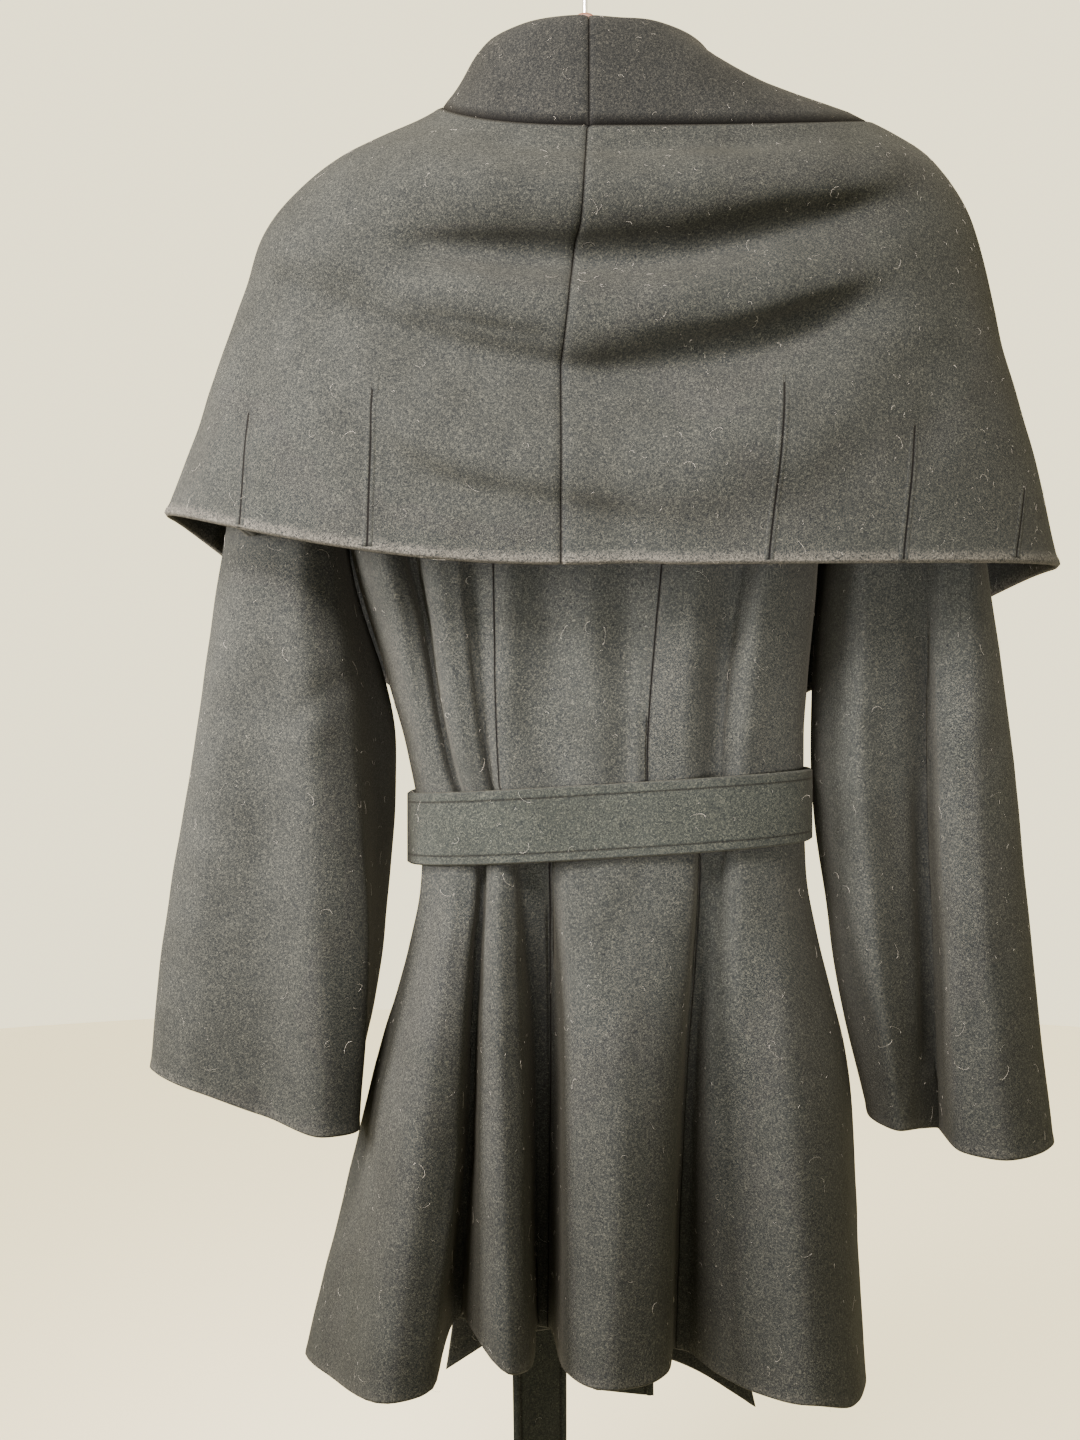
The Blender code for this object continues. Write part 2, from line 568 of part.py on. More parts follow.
def collar_grid(body):
    """The whole collar as one grid: rows from the neck seam to the free edge,
    columns from the right front end round to the left one."""
    turns = np.linspace(-1, 1, COLLAR_STEPS_ROUND + 1)
    turns = np.sign(turns) * np.abs(turns) ** 1.05
    base = neck_base(turns, body)
    rings = [ring_points(ring, turns) for ring in COLLAR_RINGS]
    roll, seam = rings[0], rings[1]
    away = unit((seam - base) * [1, 1, 0])
    size = np.interp(np.abs(turns), [0, 0.55, 1], [9, 7, 2.6])[:, None] * MM
    front = np.clip((np.abs(turns) - FRONT_START) / FRONT_BLEND, 0, 1)[:, None]
    beyond = np.sign(turns)[:, None] * [-1, 0, 0]
    upright = np.clip((FRONT_START - np.abs(turns)) / UPRIGHT_BLEND, 0, 1)[:, None] * [0, 0, 1]
    toward = unit(unit(roll - base) * (1 - upright[:, 2:]) + upright)
    stand = base + unit(toward * (1 - front) + beyond * front) * STAND_RISE
    inner = roll - away * size + np.array([0, 0, -1.2]) * size
    fall = roll + away * size + np.array([0, 0, -1.0]) * size
    lines = [base, stand, inner, roll, fall] + rings[1:]
    lines = np.array(lines)
    band = np.linspace(0, 5, BAND_STEPS + 1)
    cape = np.linspace(5, 10, CAPE_STEPS + 1)[1:]
    fractions = np.concatenate([band, cape])
    grid = np.array([through(lines[:, column], fractions) for column in range(lines.shape[1])])
    grid = grid.transpose(1, 0, 2)
    heights, drift = np.array(CENTRE_SEAM).T * MM
    near = np.exp(-(grid[..., 0] / CENTRE_EASE) ** 2) * (grid[..., 1] > 0)
    cape_rows = slice(BAND_STEPS + 1, None)
    grid[cape_rows, :, 0] += (near * np.interp(grid[..., 2], heights, drift))[cape_rows]
    normals = grid_normals(grid)
    shift = swag_shift(grid)[..., None]
    outward = np.sign(np.sum(normals * [0, 1, 0], axis=-1, keepdims=True))
    sag = np.array([0, 0, -SWAG_SAG])
    grid[cape_rows] += ((normals * outward + sag) * shift)[cape_rows]
    return turns, grid


def make_collar(body):
    """The band and the cape, cut at the centre back and at the shoulders."""
    turns, grid = collar_grid(body)
    normals = grid_normals(grid)
    middle = COLLAR_STEPS_ROUND // 2
    right = int(np.argmin(np.abs(turns + BAND_END)))
    left = int(np.argmin(np.abs(turns - BAND_END)))
    last = COLLAR_STEPS_ROUND
    band, cape = grid[:BAND_STEPS + 1].copy(), grid[BAND_STEPS:].copy()
    band[-1] += unit(band[-2] - band[-1]) * SEAM_GAP * 0.6
    cape[0] += unit(cape[1] - cape[0]) * SEAM_GAP * 0.6
    for name, first, end in (("band_front_right", 0, right), ("band_back_right", right, middle),
                             ("band_back_left", middle, left), ("band_front_left", left, last)):
        wall(name, trimmed(band, first, end), normals[:BAND_STEPS + 1, first:end + 1])
    for name, first, end in (("cape_right", 0, middle), ("cape_left", middle, last)):
        wall(name, trimmed(cape, first, end), normals[BAND_STEPS:, first:end + 1])


def belt_path(angles, clear):
    """Points of the belt's middle line round the waist, from the front."""
    points = []
    for angle in angles:
        s, c = math.sin(angle), -math.cos(angle)
        deep = WAIST_BACK if c > 0 else WAIST_FRONT_OVER
        power = 2 / WAIST_SQUARE
        x = WAIST_X + math.copysign(abs(s) ** power, s) * (WAIST_HALF + clear)
        y = math.copysign(abs(c) ** power, c) * (deep + clear)
        points.append((x, y, BELT_Z + BELT_TILT * (x - WAIST_X)))
    return np.array(points)


def ribbon(name, path, across, thickness, colour, rows=3):
    """A strap: a wall along a path, as wide as the belt."""
    steps = np.linspace(0.5, -0.5, rows + 1)
    grid = np.array([path + across * BELT_WIDTH * step for step in steps])
    return wall(name, grid, grid_normals(grid), thickness, colour=colour)


def make_belt():
    """The belt round the waist, its half knot and its two hanging ends."""
    meet = math.asin(((KNOT_X - WAIST_X) / WAIST_HALF) ** (WAIST_SQUARE / 2))
    angles = np.linspace(meet, meet + 2 * math.pi, 43)
    angles[0] += BELT_END
    angles[-1] -= BELT_END
    path = belt_path(angles, BELT_CLEAR)
    ribbon("belt_loop", path, np.array([0, 0, 1]), BELT_THICK, BELT, rows=1)
    bm = bmesh.new()
    bmesh.ops.create_uvsphere(bm, u_segments=20, v_segments=12, radius=1)
    centre_y = -(WAIST_FRONT_OVER + BELT_CLEAR) - BELT_THICK / 2 - SEAM_GAP - KNOT_DEPTH
    for vert in bm.verts:
        x, y, z = vert.co
        pinch = KNOT_FULL + KNOT_PINCH * math.cos(3 * math.atan2(z, x) + 0.6)
        square = 1 + KNOT_SQUARE * (1 - max(abs(x), abs(z)))
        vert.co = (
            KNOT_X + min(max(x * KNOT_HALF * square, -KNOT_HALF), KNOT_HALF),
            centre_y + min(y * KNOT_DEPTH * pinch, KNOT_DEPTH),
            max(BELT_Z + z * KNOT_HALF * square + x * KNOT_SLANT, KNOT_FOOT),
        )
    new_object("belt_knot", bm, BELT)
    for tail in TAILS:
        points = [(x, y, TAIL_TOP / MM if z is None else z) for x, y, z in tail.points]
        path = through(np.array(points) * MM, np.linspace(0, len(points) - 1, 15))
        turn = np.linspace(0.15, 1, len(path))[:, None] * tail.spin
        across = np.concatenate([np.cos(turn), np.sin(turn), 0 * turn], axis=1)
        ribbon(tail.name, path, across, BELT_THICK, BELT, rows=2)


def make_hanger():
    """A flat shaped wooden hanger and the wire hook screwed into it."""
    reach = np.linspace(-HANGER_TIP, HANGER_TIP, 31)
    drop = (CLOTH / 2 + SEAM_GAP) / SHOULDER_COSINE + HANGER_DROP
    centre = shoulder_height(HANGER_SADDLE) - drop
    top, bottom = [], []
    for x in reach:
        neck = math.exp(-(x / HANGER_NECK) ** 2) * (HANGER_TOP - centre)
        line = shoulder_height(max(abs(x), HANGER_SADDLE)) - drop + neck
        top.append((x, line - HANGER_ROUND))
        under = HANGER_UNDER_TIP + (HANGER_UNDER_MIDDLE - HANGER_UNDER_TIP) * (1 - (x / HANGER_TIP) ** 2)
        bottom.append((x, under + HANGER_ROUND))
    outline = top + bottom[::-1]
    curve = bpy.data.curves.new("hanger_wood", "CURVE")
    curve.dimensions = "2D"
    curve.fill_mode = "BOTH"
    curve.extrude = HANGER_THICK / 2 - HANGER_ROUND
    curve.bevel_depth = HANGER_ROUND
    curve.bevel_resolution = 1
    shape = curve.splines.new("POLY")
    shape.points.add(len(outline) - 1)
    for point, (x, z) in zip(shape.points, outline):
        point.co = (x, z, 0, 1)
    shape.use_cyclic_u = True
    wood = bpy.data.objects.new("hanger_wood", curve)
    COAT.objects.link(wood)
    wood.rotation_euler = (math.pi / 2, 0, 0)
    finish(wood, *WOOD)

    hook = bpy.data.curves.new("hanger_hook", "CURVE")
    hook.dimensions = "3D"
    hook.bevel_depth = WIRE
    hook.bevel_resolution = 2
    hook.use_fill_caps = True
    radius = HOOK_INNER + WIRE
    centre = -HOOK_INNER
    points = [(0, HANGER_TOP + 2.6 * SEAM_GAP), (0, HANGER_TOP + HOOK_STEM)]
    sweep = np.linspace(*HOOK_SWEEP, 16)
    arc = [(radius * math.cos(math.radians(a)), centre + radius * math.sin(math.radians(a))) for a in sweep]
    points += arc[1:]
    route = through([(x, 0, z) for x, z in points], np.linspace(0, len(points) - 1, 40))
    line = hook.splines.new("POLY")
    line.points.add(len(route) - 1)
    for point, place in zip(line.points, route):
        point.co = (*place, 1)
    wire = bpy.data.objects.new("hanger_hook", hook)
    COAT.objects.link(wire)
    finish(wire, *STEEL)


for leftover in list(bpy.data.objects):
    bpy.data.objects.remove(leftover)

COAT = bpy.data.collections.new("wrap_coat")
bpy.context.scene.collection.children.link(COAT)
WOOL = ((0.020, 0.020, 0.019), 0.95, 0.0)
BELT = ((0.023, 0.023, 0.021), 0.95, 0.0)
WOOD = ((0.15, 0.055, 0.025), 0.45, 0.0)
STEEL = ((0.62, 0.62, 0.63), 0.25, 1.0)

body = body_grid()
body_normals = grid_normals(body)
at_ridge = np.abs(body[0, :, 1]) < MM
body_normals[0, at_ridge, 1] = 0
body_normals[0] = unit(body_normals[0])
make_body(body, body_normals)
for side, creases in (("left", SLEEVE_LEFT), ("right", SLEEVE_RIGHT)):
    sleeve = sleeve_grid(creases, body, body_normals, side)
    wall("sleeve_" + side, sleeve, grid_normals(sleeve, wrap=True), wrap=True)
make_collar(body)
make_belt()
make_hanger()
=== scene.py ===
"""Looks of a wool wrap coat on a hanger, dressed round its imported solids.

The origin is inside the crown of the hanger's hook, +Z is up, the coat's back
faces +Y and the wearer's left is +X. Tables are in millimetres and all else in
metres. The surfaces are those of the solids, worked out again on finer grids,
with creases, seams, turned edges, stitches and fibres added.
"""
import json
import math
from collections import namedtuple

import bmesh
import bpy
import numpy as np
from bpy.props import FloatProperty, FloatVectorProperty, IntProperty, PointerProperty
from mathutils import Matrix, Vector
from mathutils.bvhtree import BVHTree

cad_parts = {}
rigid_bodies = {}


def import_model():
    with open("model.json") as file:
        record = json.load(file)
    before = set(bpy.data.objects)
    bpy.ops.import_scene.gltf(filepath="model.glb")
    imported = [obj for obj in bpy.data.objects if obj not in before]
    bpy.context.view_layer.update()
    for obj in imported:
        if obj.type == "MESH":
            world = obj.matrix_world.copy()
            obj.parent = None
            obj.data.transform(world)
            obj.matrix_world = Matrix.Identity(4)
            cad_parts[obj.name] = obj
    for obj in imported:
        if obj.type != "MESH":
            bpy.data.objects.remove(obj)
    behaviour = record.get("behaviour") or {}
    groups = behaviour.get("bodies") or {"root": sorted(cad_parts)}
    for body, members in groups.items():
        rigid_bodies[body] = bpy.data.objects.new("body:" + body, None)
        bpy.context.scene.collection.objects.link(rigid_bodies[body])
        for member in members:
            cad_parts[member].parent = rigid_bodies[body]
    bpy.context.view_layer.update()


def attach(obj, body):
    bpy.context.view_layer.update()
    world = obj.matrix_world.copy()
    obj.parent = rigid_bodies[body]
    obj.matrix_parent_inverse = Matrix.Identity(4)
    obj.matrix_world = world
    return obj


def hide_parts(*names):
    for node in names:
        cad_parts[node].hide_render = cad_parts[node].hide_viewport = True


bl_info = {
    "name": "Wrap coat on a hanger",
    "version": (1, 0, 0),
    "blender": (4, 5, 0),
    "location": "View3D > Sidebar > Wrap coat",
    "description": "Builds the cloth, belt, hanger and studio of a wool wrap coat",
    "category": "Object",
}

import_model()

MM = 0.001

# Cloth
CLOTH = 2.6 * MM
SEAM_GAP = 0.3 * MM
DRAWN_IN = SEAM_GAP * 0.6
LAP = CLOTH + SEAM_GAP
BELT_THICK = 3.4 * MM
BELT_WIDTH = 45 * MM

# Heights of the coat body's levels
Z_SHOULDER_NECK = -118 * MM
Z_SHOULDER_TIP = -203 * MM
Z_CHEST = -300 * MM
Z_CAPE = -441 * MM
Z_WAIST = -584 * MM
Z_BELT = -631 * MM
Z_MID = -787 * MM
NECK_HALF = 70 * MM
SHOULDER_HALF = 188 * MM
SHOULDER_ROLL = 160 * MM
NECK_DIP = 27 * MM

# The oval that the belt pulls the waist into
WAIST_X = -16 * MM
WAIST_HALF = 130 * MM
WAIST_BACK = 79 * MM
WAIST_FRONT_UNDER = 80 * MM
WAIST_FRONT_OVER = 94 * MM
WAIST_SQUARE = 2.7

# Belt
BELT_Z = -606.5 * MM
BELT_TILT = -0.060
BELT_CLEAR = 4.6 * MM
BELT_END = 0.006
KNOT_X = 2 * MM
KNOT_HALF = 28 * MM
KNOT_DEPTH = 12 * MM
KNOT_FOOT = BELT_Z - 27 * MM
KNOT_FULL = 1.1
KNOT_PINCH = 0.22
KNOT_SQUARE = 0.18
KNOT_SLANT = 7 * MM
# A turn of the strip that shows on the knot: its direction, place, width and height
KNOT_LAPS = [(0.8, 0.6, 0.35, 0.09, 0.09), (0.8, 0.6, -0.4, 0.09, 0.09), (0.5, -0.85, 0.5, 0.08, 0.06)]

# Hanger
HANGER_THICK = 14 * MM
HANGER_TOP = -64 * MM
HANGER_TIP = 184 * MM
HANGER_UNDER_MIDDLE = -152 * MM
HANGER_UNDER_TIP = -222 * MM
HANGER_ROUND = 2 * MM
HANGER_DROP = 1.6 * MM
HANGER_SADDLE = NECK_HALF + 5 * MM
HANGER_NECK = 28 * MM
SHOULDER_COSINE = 0.81
WIRE = 1.8 * MM
HOOK_INNER = 19 * MM
HOOK_STEM = 12 * MM
HOOK_SWEEP = (-60, 205)

# A fold of the coat body: where it ends at the top (None is the shoulder
# seam), then x at six levels, y at six levels and the height of its hem.
# Levels: top, cape edge, belt top, belt bottom, mid skirt and hem for x, and
# chest, cape edge, inset at belt top and bottom, mid skirt and hem for y.
Fold = namedtuple("Fold", "name top x y hem")

FRONT_UNDER = [
    Fold("under_edge", None, (70, 14, -30, -32, -75, -125), (-52, -77, 0, 0, -70, -80), -1042),
    Fold("under_crest_1", None, (86, 34, -10, -12, -48, -85), (-60, -78, 0, 0, -82, -94), -1022),
    Fold("under_trough_1", None, (102, 54, 8, 6, -15, -45), (-66, -78, 3, 4, -68, -75), -1000),
    Fold("under_crest_2", None, (120, 78, 32, 30, 22, 0), (-70, -79, 0, 0, -86, -94), -990),
    Fold("under_trough_2", None, (140, 98, 56, 53, 56, 45), (-72, -77, 4, 5, -72, -74), -986),
    Fold("under_crest_3", None, (163, 118, 76, 73, 85, 95), (-72, -72, 0, 0, -88, -102), -986),
    Fold("tip_front_left", None, (188, 131, 90, 87, 110, 128), (-69, -58, 3, 4, -80, -86), -983),
    Fold("armhole_front_left", -266, (190, 143, 101, 97, 130, 158), (-54, -38, 0, 0, -68, -85), -981),
    Fold("underarm_front_left", -330, (190, 150, 109, 104, 137, 180), (-36, -14, 0, 0, -38, -50), -979),
]
BACK = [
    Fold("side_left", -360, (190, 154, 113.5, 107, 144, 190), (0, 12, 0, 0, -5, -12), -976),
    Fold("underarm_back_left", -330, (190, 144, 106, 97, 131, 164), (36, 48, 0, 0, 50, 50), -970),
    Fold("crest_a", -266, (190, 129, 97, 83, 102, 123), (54, 70, 0, 0, 98, 115), -958),
    Fold("tip_back_left", None, (188, 120, 90, 75, 83, 98), (70, 67, 2, 2, 90, 98), -957),
    Fold("trough_a", None, (165, 115, 86, 71, 78, 90), (74, 54, 9, 9, 56, 18), -946),
    Fold("trough_b", None, (150, 110, 82, 66, 73, 82), (74, 54, 9, 9, 54, 16), -940),
    Fold("edge_b", None, (134, 105, 79, 62, 69, 75), (74, 66, 2, 2, 78, 62), -931),
    Fold("crest_b", None, (115, 94, 73, 57, 55, 50), (74, 74, 0, 0, 100, 115), -940),
    Fold("edge_b2", None, (98, 84, 67, 51, 42, 38), (74, 74, 2, 3, 86, 96), -945),
    Fold("trough_bc", None, (84, 74, 62, 43, 35, 33), (74, 69, 9, 14, 24, 2), -953),
    Fold("seam_left", None, (70, 60, 56, 24, 23, 24), (74, 73, 2, 14, 24, 4), -954),
    Fold("edge_c", None, (52, 50, 48, 12, 10, 16), (75, 76, 1, 3, 86, 82), -950),
    Fold("hollow_c", None, (30, 27, 27, -6, -4, 2), (75, 70, 4, 1, 103, 107), -951),
    Fold("crest_c", -145, (0, -1, -2, -26, -20, -13), (77, 79, 0, 0, 110, 116), -950),
    Fold("hollow_d", None, (-30, -25, -23, -47, -40, -34), (75, 73, 3, 1, 103, 106), -951),
    Fold("edge_d", None, (-50, -38, -31, -65, -54, -49), (75, 75, 1, 3, 86, 84), -952),
    Fold("seam_right", None, (-70, -47, -37, -71, -63, -58), (74, 77, 2, 11, 46, 24), -960),
    Fold("trough_d", None, (-84, -57, -47, -77, -69, -67), (74, 79, 1, 12, 45, 20), -963),
    Fold("slope_e", None, (-105, -69, -60, -86, -78, -84), (74, 80, 0, 11, 64, 52), -965),
    Fold("trough_e", None, (-148, -98, -83, -95, -97, -105), (74, 61, 11, 1, 80, 80), -966),
    Fold("tip_back_right", None, (-188, -114, -97, -112, -124, -136), (70, 74, 0, 0, 92, 102), -965),
    Fold("armhole_back_right", -266, (-190, -143, -134, -132, -156, -166), (54, 45, 0, 0, 65, 80), -975),
    Fold("underarm_back_right", -330, (-190, -151, -142, -141, -170, -178), (34, 28, 0, 0, 35, 50), -978),
    Fold("side_right", -360, (-190, -155, -145, -145, -177, -185), (0, 8, 0, 0, 5, 15), -981),
]
FRONT_OVER = [
    Fold("underarm_front_right", -330,
         (-190, -152, -143, -142, -172, -186), (-36, -20, 0, 0, -35, -35), -984),
    Fold("armhole_front_right", -266, (-190, -143, -135, -133, -160, -178), (-54, -46, 0, 0, -70, -80), -988),
    Fold("tip_front_right", None, (-188, -130, -121, -120, -138, -155), (-69, -66, 2, 3, -88, -98), -992),
    Fold("over_crest_3", None, (-165, -114, -105, -105, -118, -130), (-72, -79, 0, 0, -100, -116), -1000),
    Fold("over_trough_2", None, (-142, -98, -85, -85, -90, -100), (-72, -86, 4, 5, -93, -100), -998),
    Fold("over_crest_2", None, (-122, -82, -62, -60, -60, -62), (-73, -93, 0, 0, -108, -121), -992),
    Fold("over_trough_1", None, (-104, -62, -38, -34, -25, -20), (-72, -96, 3, 4, -99, -106), -988),
    Fold("over_crest_1", None, (-87, -43, -5, -2, 22, 38), (-66, -97, 0, 0, -113, -126), -998),
    Fold("over_edge", None, (-70, -23, 30, 32, 65, 100), (-54, -97, 0, 0, -106, -119), -1030),
]
BODY_FOLDS = FRONT_UNDER + BACK + FRONT_OVER
FOLD_AT = {fold.name: i for i, fold in enumerate(BODY_FOLDS)}

# A panel of the body, cut at two folds, and how its side edges are finished
Panel = namedtuple("Panel", "name first last left right")

PANELS = [
    Panel("front_left", "under_edge", "side_left", "hem", "seam"),
    Panel("back_side_left", "side_left", "seam_left", "seam", "seam"),
    Panel("back_centre", "seam_left", "seam_right", "seam", "seam"),
    Panel("back_side_right", "seam_right", "side_right", "seam", "seam"),
    Panel("front_right", "side_right", "over_edge", "seam", "hem"),
]

# The cloth that each piece is cut from: width, length and area where the cut
# isn't a rectangle, and what carries it.
Cut = namedtuple("Cut", "width length area rests_on")

# A crease down a sleeve: how far round the armhole it starts (0 at the
# shoulder tip, by way of the back, 0.5 at the underarm), then x and y at the
# cape edge, elbow, forearm and cuff, and the height of its cuff.
Z_ELBOW = -556 * MM
Z_FOREARM = -687 * MM
SLEEVE_HEAD = 3 * MM
Crease = namedtuple("Crease", "name start x y cuff")

SLEEVE_LEFT = [
    Crease("outer", 0.00, (248, 264, 286, 297), (-5, -5, -8, -10), -780),
    Crease("back_outer", 0.13, (229, 239, 254, 257), (36, 37, 36, 31), -788),
    Crease("dent", 0.24, (206, 201, 209, 214), (51, 50, 47, 38), -801),
    Crease("back_crest", 0.33, (187, 178, 173, 171), (55, 60, 64, 62), -810),
    Crease("inner_back", 0.42, (167, 155, 143, 150), (40, 46, 50, 45), -810),
    Crease("underarm", 0.50, (163, 145, 143, 160), (2, 4, 6, 5), -814),
    Crease("inner_front", 0.60, (164, 134, 141, 166), (-42, -45, -45, -42), -819),
    Crease("front_crease", 0.74, (196, 190, 200, 220), (-57, -62, -66, -66), -804),
    Crease("front_outer", 0.88, (232, 247, 268, 282), (-44, -46, -50, -50), -788),
]
SLEEVE_RIGHT = [
    Crease("outer", 0.00, (-268, -284, -298, -310), (10, 10, 12, 20), -823),
    Crease("lobe_outer", 0.10, (-247, -250, -256, -269), (50, 55, 60, 60), -825),
    Crease("ridge", 0.17, (-231, -233, -237, -242), (50, 48, 46, 45), -822),
    Crease("valley", 0.24, (-222, -226, -232, -239), (38, 26, 16, 6), -818),
    Crease("slope", 0.31, (-203, -203, -212, -224), (48, 44, 36, 22), -814),
    Crease("lobe_inner", 0.38, (-180, -176, -186, -204), (52, 56, 54, 45), -810),
    Crease("underarm", 0.50, (-164, -155, -168, -193), (4, 6, 6, 5), -811),
    Crease("inner_front", 0.60, (-170, -166, -182, -208), (-44, -44, -45, -45), -806),
    Crease("front_crease", 0.74, (-205, -215, -235, -255), (-60, -64, -68, -68), -810),
    Crease("front_outer", 0.88, (-250, -266, -284, -298), (-44, -46, -46, -42), -816),
]

# A line of the collar that runs right round it, from one front end by way of
# the back to the other: how far it reaches to each side, back and front, its
# height there, and how far its ends pass the middle.
Ring = namedtuple("Ring", "name left right back front z_left z_right z_back z_front past level")

COLLAR_RINGS = [
    Ring("roll", 67, 80, 76, 86, -96, -99, -99, -546, -38, 1.0),
    Ring("seam", 96, 190, 89, 96, -127, -138, -171, -556, -22, 1.0),
    Ring("yoke", 163, 231, 111, 102, -164, -166, -203, -562, -4, 1.2),
    Ring("shoulder", 211, 259, 119, 108, -211, -211, -243, -567, 12, 1.4),
    Ring("belly", 238, 279, 126, 112, -285, -298, -303, -571, 26, 1.6),
    Ring("lower", 259, 298, 129, 114, -347, -362, -372, -574, 39, 1.9),
    Ring("edge", 281, 316, 122, 116, -405, -440, -447, -577, 52, 2.2),
]
LAPEL_END_LEFT = 84.6 * MM
LAPEL_END_RIGHT = 101 * MM
LAPEL_OVER = 15 * MM
BAND_END = 0.47
NECK_LAP = 5 * MM
EDGE_LAP = 2 * MM
STAND_RISE = 9 * MM
FRONT_START = 0.6
FRONT_BLEND = 0.2
NECK_SLACK = 1.35
LAPEL_SLACK = 0.35
LAPEL_TAPER = (0.85, 0.95)
LAPEL_LOW = -552 * MM
NECK_SHELF = 25 * MM
UPRIGHT_BLEND = 0.06
COLUMN_CROWD = 1.05
# How thick the roll at the top of the collar is, from the centre back to its ends
ROLL_TURNS = (0, 0.55, 1)
ROLL_SIZES = (9, 7, 2.6)

# A swag of the cape's back: a soft ridge (+) or trough (-) that hangs in a U
Swag = namedtuple("Swag", "name left low right width depth")

SWAGS = [
    Swag("ridge_1", (150, -202), (-5, -222), (-190, -192), 19, 7),
    Swag("trough_1", (130, -262), (-5, -270), (-190, -226), 18, -14),
    Swag("ridge_2", (190, -240), (-5, -296), (-175, -258), 18, 6),
    Swag("trough_2", (205, -274), (5, -345), (-165, -302), 20, -16),
    Swag("ridge_3", (185, -300), (-5, -398), (-160, -348), 30, 8),
    Swag("trough_3", (165, -330), (60, -408), (-30, -428), 17, -6),
]
SWAG_SAG = 0.9
SWAG_BEND = 1.9
SWAG_REACH = 1.3

# Where the centre back seam of the cape runs: height, and x left of the middle
CENTRE_SEAM = [(-440, 18), (-340, 18), (-300, 15), (-240, 6), (-171, 1)]
CENTRE_EASE = 90 * MM

# A hanging end of the belt: points of its middle line, of which the first is
# just under the knot, and how far it turns on its way down, in radians
Tail = namedtuple("Tail", "name spin points")

TAIL_TOP = KNOT_FOOT - 2 * SEAM_GAP
TAILS = [
    Tail("belt_tail_short", -0.25, [
        (-12, -108, None), (-21, -119, -690), (-27, -125, -760), (-30, -131, -850),
        (-32, -135, -950), (-33, -137, -1056)]),
    Tail("belt_tail_long", 0.55, [
        (14, -116, None), (21, -126, -690), (26, -132, -760), (29, -138, -860),
        (31, -143, -980), (30, -145, -1130)]),
]

